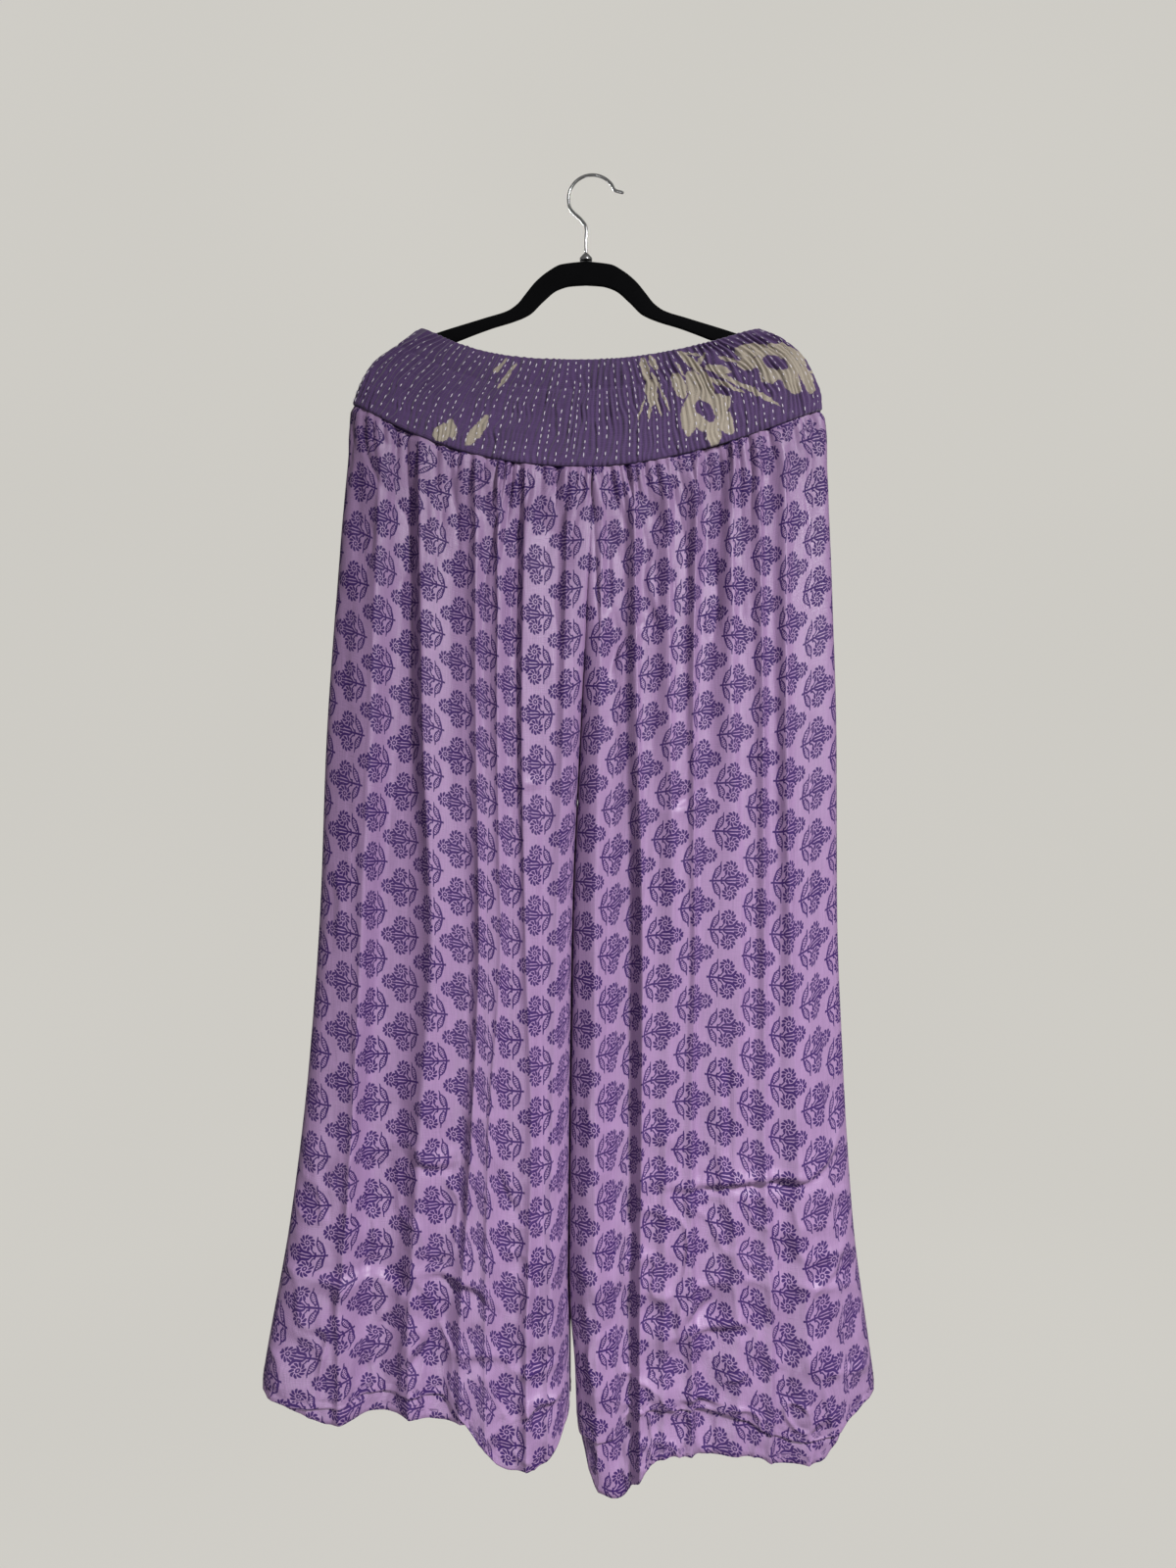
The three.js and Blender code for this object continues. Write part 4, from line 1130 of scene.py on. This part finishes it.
def band_surface():
    """The waistband's rows of points with its pleats, and its flat places as they are seen."""
    casing = sizes().casing_depth
    columns = 7 * sizes().shirring_pleats + 20
    columns += columns % 2
    shares = np.arange(columns) / columns
    rows, flats = [], []
    face_rows = [(row, 0) for row in np.linspace(0.002, 0.992, 60)]
    for row, depth in [*BAND_TOP_ROWS, *face_rows, *BAND_SEAM_ROWS]:
        ring, way = band_ring(min(max(row, 0), 1), columns)
        x = ring[:, 0]
        wander = soft_noise(shares * 70 + 3, np.full(columns, row * 7 + 2), 21) * 0.45
        wander += soft_noise(shares * 30 + 3, np.full(columns, row * 3 + 2), 22) * 0.6
        uneven = 1 + 0.6 * soft_noise(shares * 90, np.full(columns, row * 6 + 5), 23)
        coarse = (1 + np.cos(2 * np.pi * (sizes().casing_pleats * shares + wander))) / 2
        fine = (1 + np.cos(2 * np.pi * (sizes().shirring_pleats * shares + 1.3 * wander))) / 2
        low = eased(row, casing - 0.02, casing + 0.05)
        pleat = at_place(BAND_FORM, "pleat", row)
        plain = bell(x, *PLAIN_PLACE) * (1 - eased(row, 0.2, 0.4)) * (ring[:, 1] < 0)
        out = pleat * uneven * mix(coarse**1.3, 0.35 * coarse + 0.7 * fine, low) * (1 - 0.75 * plain)
        out += CASING_PUFF * (bell(row, 0.13, 0.1) - bell(row, casing, 0.012))
        elastic = np.abs(((row - casing) / ELASTIC_PITCH + 0.5) % 1 - 0.5)
        out -= ELASTIC_DEPTH * bell(elastic, 0, 0.12) * low
        if row < 0.03:
            out *= 0.75
        if row > 0.985:
            out *= 0.4
        ring = moved(ring, way, out - depth)
        ring[:, 2] += WAIST_GAP / 2 * (row > 0.99)
        if row < 0:
            ring[:, 2] += 0.5
        rows.append(ring)
        around = np.concatenate([shares, [1.0]]) * 2
        seen = np.where(around <= 1, around, 2 - around)
        flat_u = (seen - 0.5) * BAND_PRINT_SIZE[0]
        flats.append(np.stack([flat_u, np.full(columns + 1, row * BAND_PRINT_SIZE[1])], -1))
    return np.array(rows), np.array(flats)


class TROUSERS_OT_waistband(bpy.types.Operator):
    """Build the shirred waistband and the running stitches that quilt it"""

    bl_idname = "trousers.waistband"
    bl_label = "Waistband"

    def execute(self, context):
        rows, flat = band_surface()
        band = grid_mesh("shirred_waistband", rows, flat, True, cotton_material())
        face_outwards(band)
        finish_piece(band, "waistband")
        stitches = running_stitches(rows[len(BAND_TOP_ROWS):-len(BAND_SEAM_ROWS)])
        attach(stitches, "root")
        size = flat_size(rows, closes=True)
        return {"FINISHED"}


STITCH_HALF_WIDTH = 0.6
STITCH_LIFT = 0.45
STITCH_SHOWS = 0.86
STITCH_GAPS = (2.2, 5.6)


def running_stitches(rows):
    """Rows of small raised stitches that run down the waistband on its pleats."""
    random = np.random.default_rng(31)
    columns = rows.shape[1]
    middle = rows.mean(axis=1)
    points, faces = [], []
    length = sizes().stitch_length / MM
    for line in range(sizes().stitch_rows):
        at = (line + random.uniform(-0.22, 0.22)) / sizes().stitch_rows
        column = int(round(at * columns)) % columns
        near = [(column + k) % columns for k in range(-2, 3)]
        front = rows[:, near]
        out = np.hypot(front[..., 0] - middle[:, None, 0], (front[..., 1] - middle[:, None, 1]) * 6)
        column = near[int(np.argmax(out.mean(axis=0)))]
        path = rows[:, column]
        arcs = arc_lengths(path[None])[0]
        way = ways_out(rows[:, (column + 4) % columns] - rows[:, column - 4])
        place = random.uniform(2, 6)
        while place < arcs[-1] - 5:
            long = length * random.uniform(0.6, 1.35)
            if random.uniform() < STITCH_SHOWS:
                add_stitch(points, faces, path, arcs, way, place, long)
            place += long + random.uniform(*STITCH_GAPS)
    return linked_piece("running_stitches", points, faces, thread_material())


def add_stitch(points, faces, path, arcs, way, place, long):
    """Adds one stitch: a small rounded bar along the cloth with tapered ends."""
    first = len(points)
    for share, full in [(0, 0.25), (0.2, 0.85), (0.5, 1), (0.8, 0.85), (1, 0.25)]:
        arc = place + share * long
        centre = np.array([np.interp(arc, arcs, path[:, k]) for k in range(3)])
        out = np.array([np.interp(arc, arcs, way[:, k]) for k in range(2)] + [0])
        across = np.array([-out[1], out[0], 0])
        for sideways, outwards in ((-1, 0), (0, 1), (1, 0), (0, -0.6)):
            beside = across * sideways * STITCH_HALF_WIDTH * full
            points.append(centre + beside + out * (outwards * STITCH_LIFT * full + 0.12))
    for section in range(4):
        for k in range(4):
            a = first + 4 * section + k
            b = first + 4 * section + (k + 1) % 4
            faces.append((a, b, b + 4, a + 4))
    faces += [(first, first + 3, first + 2, first + 1), tuple(range(first + 16, first + 20))]


class TROUSERS_OT_hanger(bpy.types.Operator):
    """Build the flocked hanger, its collar and its wire hook"""

    bl_idname = "trousers.hanger"
    bl_label = "Hanger"

    def execute(self, context):
        finish_piece(flocked_body(), "hanger_body")
        steel = steel_material()
        finish_piece(collar_ring(steel), "hanger_collar")
        finish_piece(wire_hook(steel), "hanger_hook")
        return {"FINISHED"}


def tube_mesh(name, rings, material, capped=True):
    """A closed mesh from rings of points, with flat ends."""
    rings = np.asarray(rings)
    count, sides = rings.shape[:2]
    faces = []
    for ring in range(count - 1):
        for k in range(sides):
            a, b = ring * sides + k, ring * sides + (k + 1) % sides
            faces.append((a, b, b + sides, a + sides))
    if capped:
        faces.append(tuple(range(sides - 1, -1, -1)))
        faces.append(tuple((count - 1) * sides + k for k in range(sides)))
    return linked_piece(name, rings, faces, material)


def turned_rings(profile, count, centre_x=0):
    """Rings round a vertical line, from pairs of a radius and a height."""
    turns = np.linspace(0, 2 * np.pi, count, endpoint=False)
    cos, sin = np.cos(turns), np.sin(turns)
    return [np.stack([centre_x + r * cos, r * sin, np.full(count, z)], -1) for r, z in profile]


def flocked_body():
    """The hanger's flat body, with rounded edges and round tips."""
    top_out, top_down = zip(*HANGER_TOP)
    bottom_out, bottom_down = zip(*HANGER_BOTTOM)
    places = np.sin(np.linspace(-np.pi / 2, np.pi / 2, 181)) * 0.35 + np.linspace(-1, 1, 181) * 0.65
    rings = []
    for place in places * HANGER_REACH:
        out = abs(place)
        top = float(smooth(top_out, top_down, out))
        bottom = float(smooth(bottom_out, bottom_down, out))
        full = math.sqrt(max(1 - max(out - HANGER_TIP_FROM, 0) ** 2 / HANGER_TIP_RADIUS**2, 0.02))
        middle, half_tall = (top + bottom) / 2, (bottom - top) / 2 * mix(0.6, 1, full)
        half_thick = HANGER_THICKNESS / 2 * full
        corner = min(HANGER_EDGE_RADIUS, half_thick)
        ring = []
        for quarter, (across, up) in enumerate(((1, 1), (-1, 1), (-1, -1), (1, -1))):
            for step in range(5):
                turn = math.pi / 2 * (quarter + step / 4)
                y = across * (half_thick - corner) + corner * math.cos(turn)
                z = up * (half_tall - corner) + corner * math.sin(turn)
                ring.append((HANGER_CENTRE_X + place, y, -middle + z))
        rings.append(ring)
    return tube_mesh("flocked_hanger", rings, flock_material())


def collar_ring(material):
    """The small plated collar where the hook turns in the body."""
    profile = [(max(radius, 0.05), -down) for radius, down in COLLAR_PROFILE]
    piece = tube_mesh("hook_collar", turned_rings(profile, 48, HANGER_CENTRE_X), material)
    piece.data.set_sharp_from_angle(angle=math.radians(40))
    return piece


def curve_through(points, per_span):
    """Points along a centripetal curve through the given ones."""
    points = np.array(points, float)
    points = np.concatenate([[2 * points[0] - points[1]], points, [2 * points[-1] - points[-2]]])
    found = []
    for near in zip(points, points[1:], points[2:], points[3:]):
        steps = np.linalg.norm(np.diff(near, axis=0), axis=1) ** 0.5
        t = [0, *np.cumsum(steps)]
        for here in np.linspace(t[1], t[2], per_span, endpoint=False):
            blend = near
            for spans in (((0, 1), (1, 2), (2, 3)), ((0, 2), (1, 3)), ((1, 2),)):
                shares = [(here - t[start]) / (t[end] - t[start]) for start, end in spans]
                blend = [mix(a, b, share) for a, b, share in zip(blend, blend[1:], shares)]
            found.append(blend[0])
    found.append(points[-2])
    return np.array(found)


def wire_hook(material):
    """The bent wire, with a rounded tip."""
    centre_down = HOOK_RADIUS - WIRE_RADIUS
    crook = []
    for turn in np.radians([205, 185, 160, 135, 110, 85, 60, 38, 22]):
        out, up = HOOK_RADIUS * math.cos(turn), HOOK_RADIUS * math.sin(turn)
        crook.append((HOOK_CENTRE_X + out, up - centre_down))
    stem = [
        (HANGER_CENTRE_X, -COLLAR_TOP_DOWN + 0.3),
        (HANGER_CENTRE_X, -(COLLAR_TOP_DOWN + STEM_BEND_DOWN) / 2),
        (HANGER_CENTRE_X, -STEM_BEND_DOWN - 1),
        (HANGER_CENTRE_X - 4.5, -STEM_BEND_DOWN + 6),
    ]
    path = curve_through([*stem, *crook, (HOOK_END[0], -HOOK_END[1])], 9)
    ways = np.gradient(path, axis=0)
    ways /= np.linalg.norm(ways, axis=1, keepdims=True)
    radii = np.full(len(path), WIRE_RADIUS)
    ends = [(0.35, 0.97), (0.75, 0.8), (1.05, 0.55), (1.2, 0.2)]
    last, way = path[-1], ways[-1]
    path = np.concatenate([path, [last + way * WIRE_RADIUS * step for step, _ in ends]])
    ways = np.concatenate([ways, [way] * len(ends)])
    radii = np.concatenate([radii, [WIRE_RADIUS * full for _, full in ends]])
    rings = []
    for (x, z), (way_x, way_z), radius in zip(path, ways, radii):
        ring = []
        for turn in np.linspace(0, 2 * np.pi, 20, endpoint=False):
            across, up = radius * math.cos(turn), radius * math.sin(turn)
            ring.append((x - way_z * across, up, z + way_x * across))
        rings.append(ring)
    return tube_mesh("wire_hook", [ring[::-1] for ring in rings], material)


# Each lamp's name, place, the height that it points at, size, spread in degrees and power.
LAMPS = [
    ("Key", (1.0, -1.62, 0.6), -1.25, 0.3, 62, 10.4),
    ("Fill", (-0.7, -1.8, -1.6), -1.2, 0.4, 70, 1.8),
    ("Back key", (-0.4, 1.86, 0.6), -1.25, 0.3, 62, 9.6),
    ("Back fill", (0.7, 1.8, -1.6), -1.2, 0.4, 70, 1.6),
]
FLOOR_Z = -1.7
FLOOR_RADIUS = 2.0
FLOOR_CURVE = 0.6
BACKDROP_TOP_Z = 2.4
CAMERA_PLACE = (-0.001, -1.142, -0.589)
CAMERA_LENS = 27.04


class TROUSERS_OT_stage(bpy.types.Operator):
    """Set up the pale floor and backdrop, the soft lights and the camera"""

    bl_idname = "trousers.stage"
    bl_label = "Stage"

    def execute(self, context):
        profile = [(0.0001, FLOOR_Z), (FLOOR_RADIUS, FLOOR_Z)]
        for turn in np.radians(range(10, 91, 10)):
            out, up = FLOOR_CURVE * math.sin(turn), FLOOR_CURVE * (1 - math.cos(turn))
            profile.append((FLOOR_RADIUS + out, FLOOR_Z + up))
        profile.append((FLOOR_RADIUS + FLOOR_CURVE, BACKDROP_TOP_Z))
        rings = np.array(turned_rings(profile, 96)) / MM
        floor = tube_mesh("pale_floor", rings, backdrop_material(), capped=False)
        floor.data.flip_normals()
        floor.visible_diffuse = floor.visible_glossy = floor.visible_shadow = False

        world = bpy.data.worlds.new("Studio")
        world.use_nodes = True
        background = world.node_tree.nodes["Background"]
        background.inputs["Color"].default_value = (1.0, 0.985, 0.96, 1)
        background.inputs["Strength"].default_value = 0.14
        context.scene.world = world
        context.scene.view_settings.view_transform = "Standard"

        dressed = bpy.data.collections.new("Lit trousers")
        for piece in context.scene.objects:
            if piece.type == "MESH" and piece != floor:
                dressed.objects.link(piece)
        for name, place, aim_z, size, spread, power in LAMPS:
            lamp = bpy.data.lights.new(name, "AREA")
            lamp.shape = "DISK"
            lamp.size = size
            lamp.energy = power
            lamp.spread = math.radians(spread)
            holder = placed(name, lamp, place)
            aim = Vector((0, 0, aim_z)) - Vector(place)
            holder.rotation_euler = aim.to_track_quat("-Z", "Y").to_euler()
            holder.visible_camera = False
            holder.light_linking.receiver_collection = dressed

        camera = bpy.data.cameras.new("Camera")
        camera.lens = CAMERA_LENS
        camera.sensor_width = 36
        camera.clip_start = 0.05
        context.scene.camera = placed("Camera", camera, CAMERA_PLACE)
        context.scene.camera.rotation_euler = (math.pi / 2, 0, 0)
        return {"FINISHED"}


STEPS = (
    TROUSERS_OT_silk_legs,
    TROUSERS_OT_inner_silk,
    TROUSERS_OT_waistband,
    TROUSERS_OT_hanger,
    TROUSERS_OT_stage,
)


class TROUSERS_PT_panel(bpy.types.Panel):
    """Lists the trousers' sizes, colours and steps."""

    bl_idname = "TROUSERS_PT_panel"
    bl_label = "Butterfly Trousers"
    bl_space_type = "VIEW_3D"
    bl_region_type = "UI"
    bl_category = "Trousers"

    def draw(self, context):
        for group in (context.scene.trouser_sizes, context.scene.trouser_colours):
            for name in group.__annotations__:
                self.layout.prop(group, name)
        for step in STEPS:
            self.layout.operator(step.bl_idname)


CLASSES = (TrouserSizes, TrouserColours, *STEPS, TROUSERS_PT_panel)


def register():
    for each in CLASSES:
        bpy.utils.register_class(each)
    bpy.types.Scene.trouser_sizes = PointerProperty(type=TrouserSizes)
    bpy.types.Scene.trouser_colours = PointerProperty(type=TrouserColours)


def unregister():
    del bpy.types.Scene.trouser_colours
    del bpy.types.Scene.trouser_sizes
    for each in reversed(CLASSES):
        bpy.utils.unregister_class(each)


def main():
    register()
    bpy.ops.trousers.silk_legs()
    bpy.ops.trousers.inner_silk()
    bpy.ops.trousers.waistband()
    bpy.ops.trousers.hanger()
    bpy.ops.trousers.stage()
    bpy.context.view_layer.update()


if __name__ == "__main__":
    main()
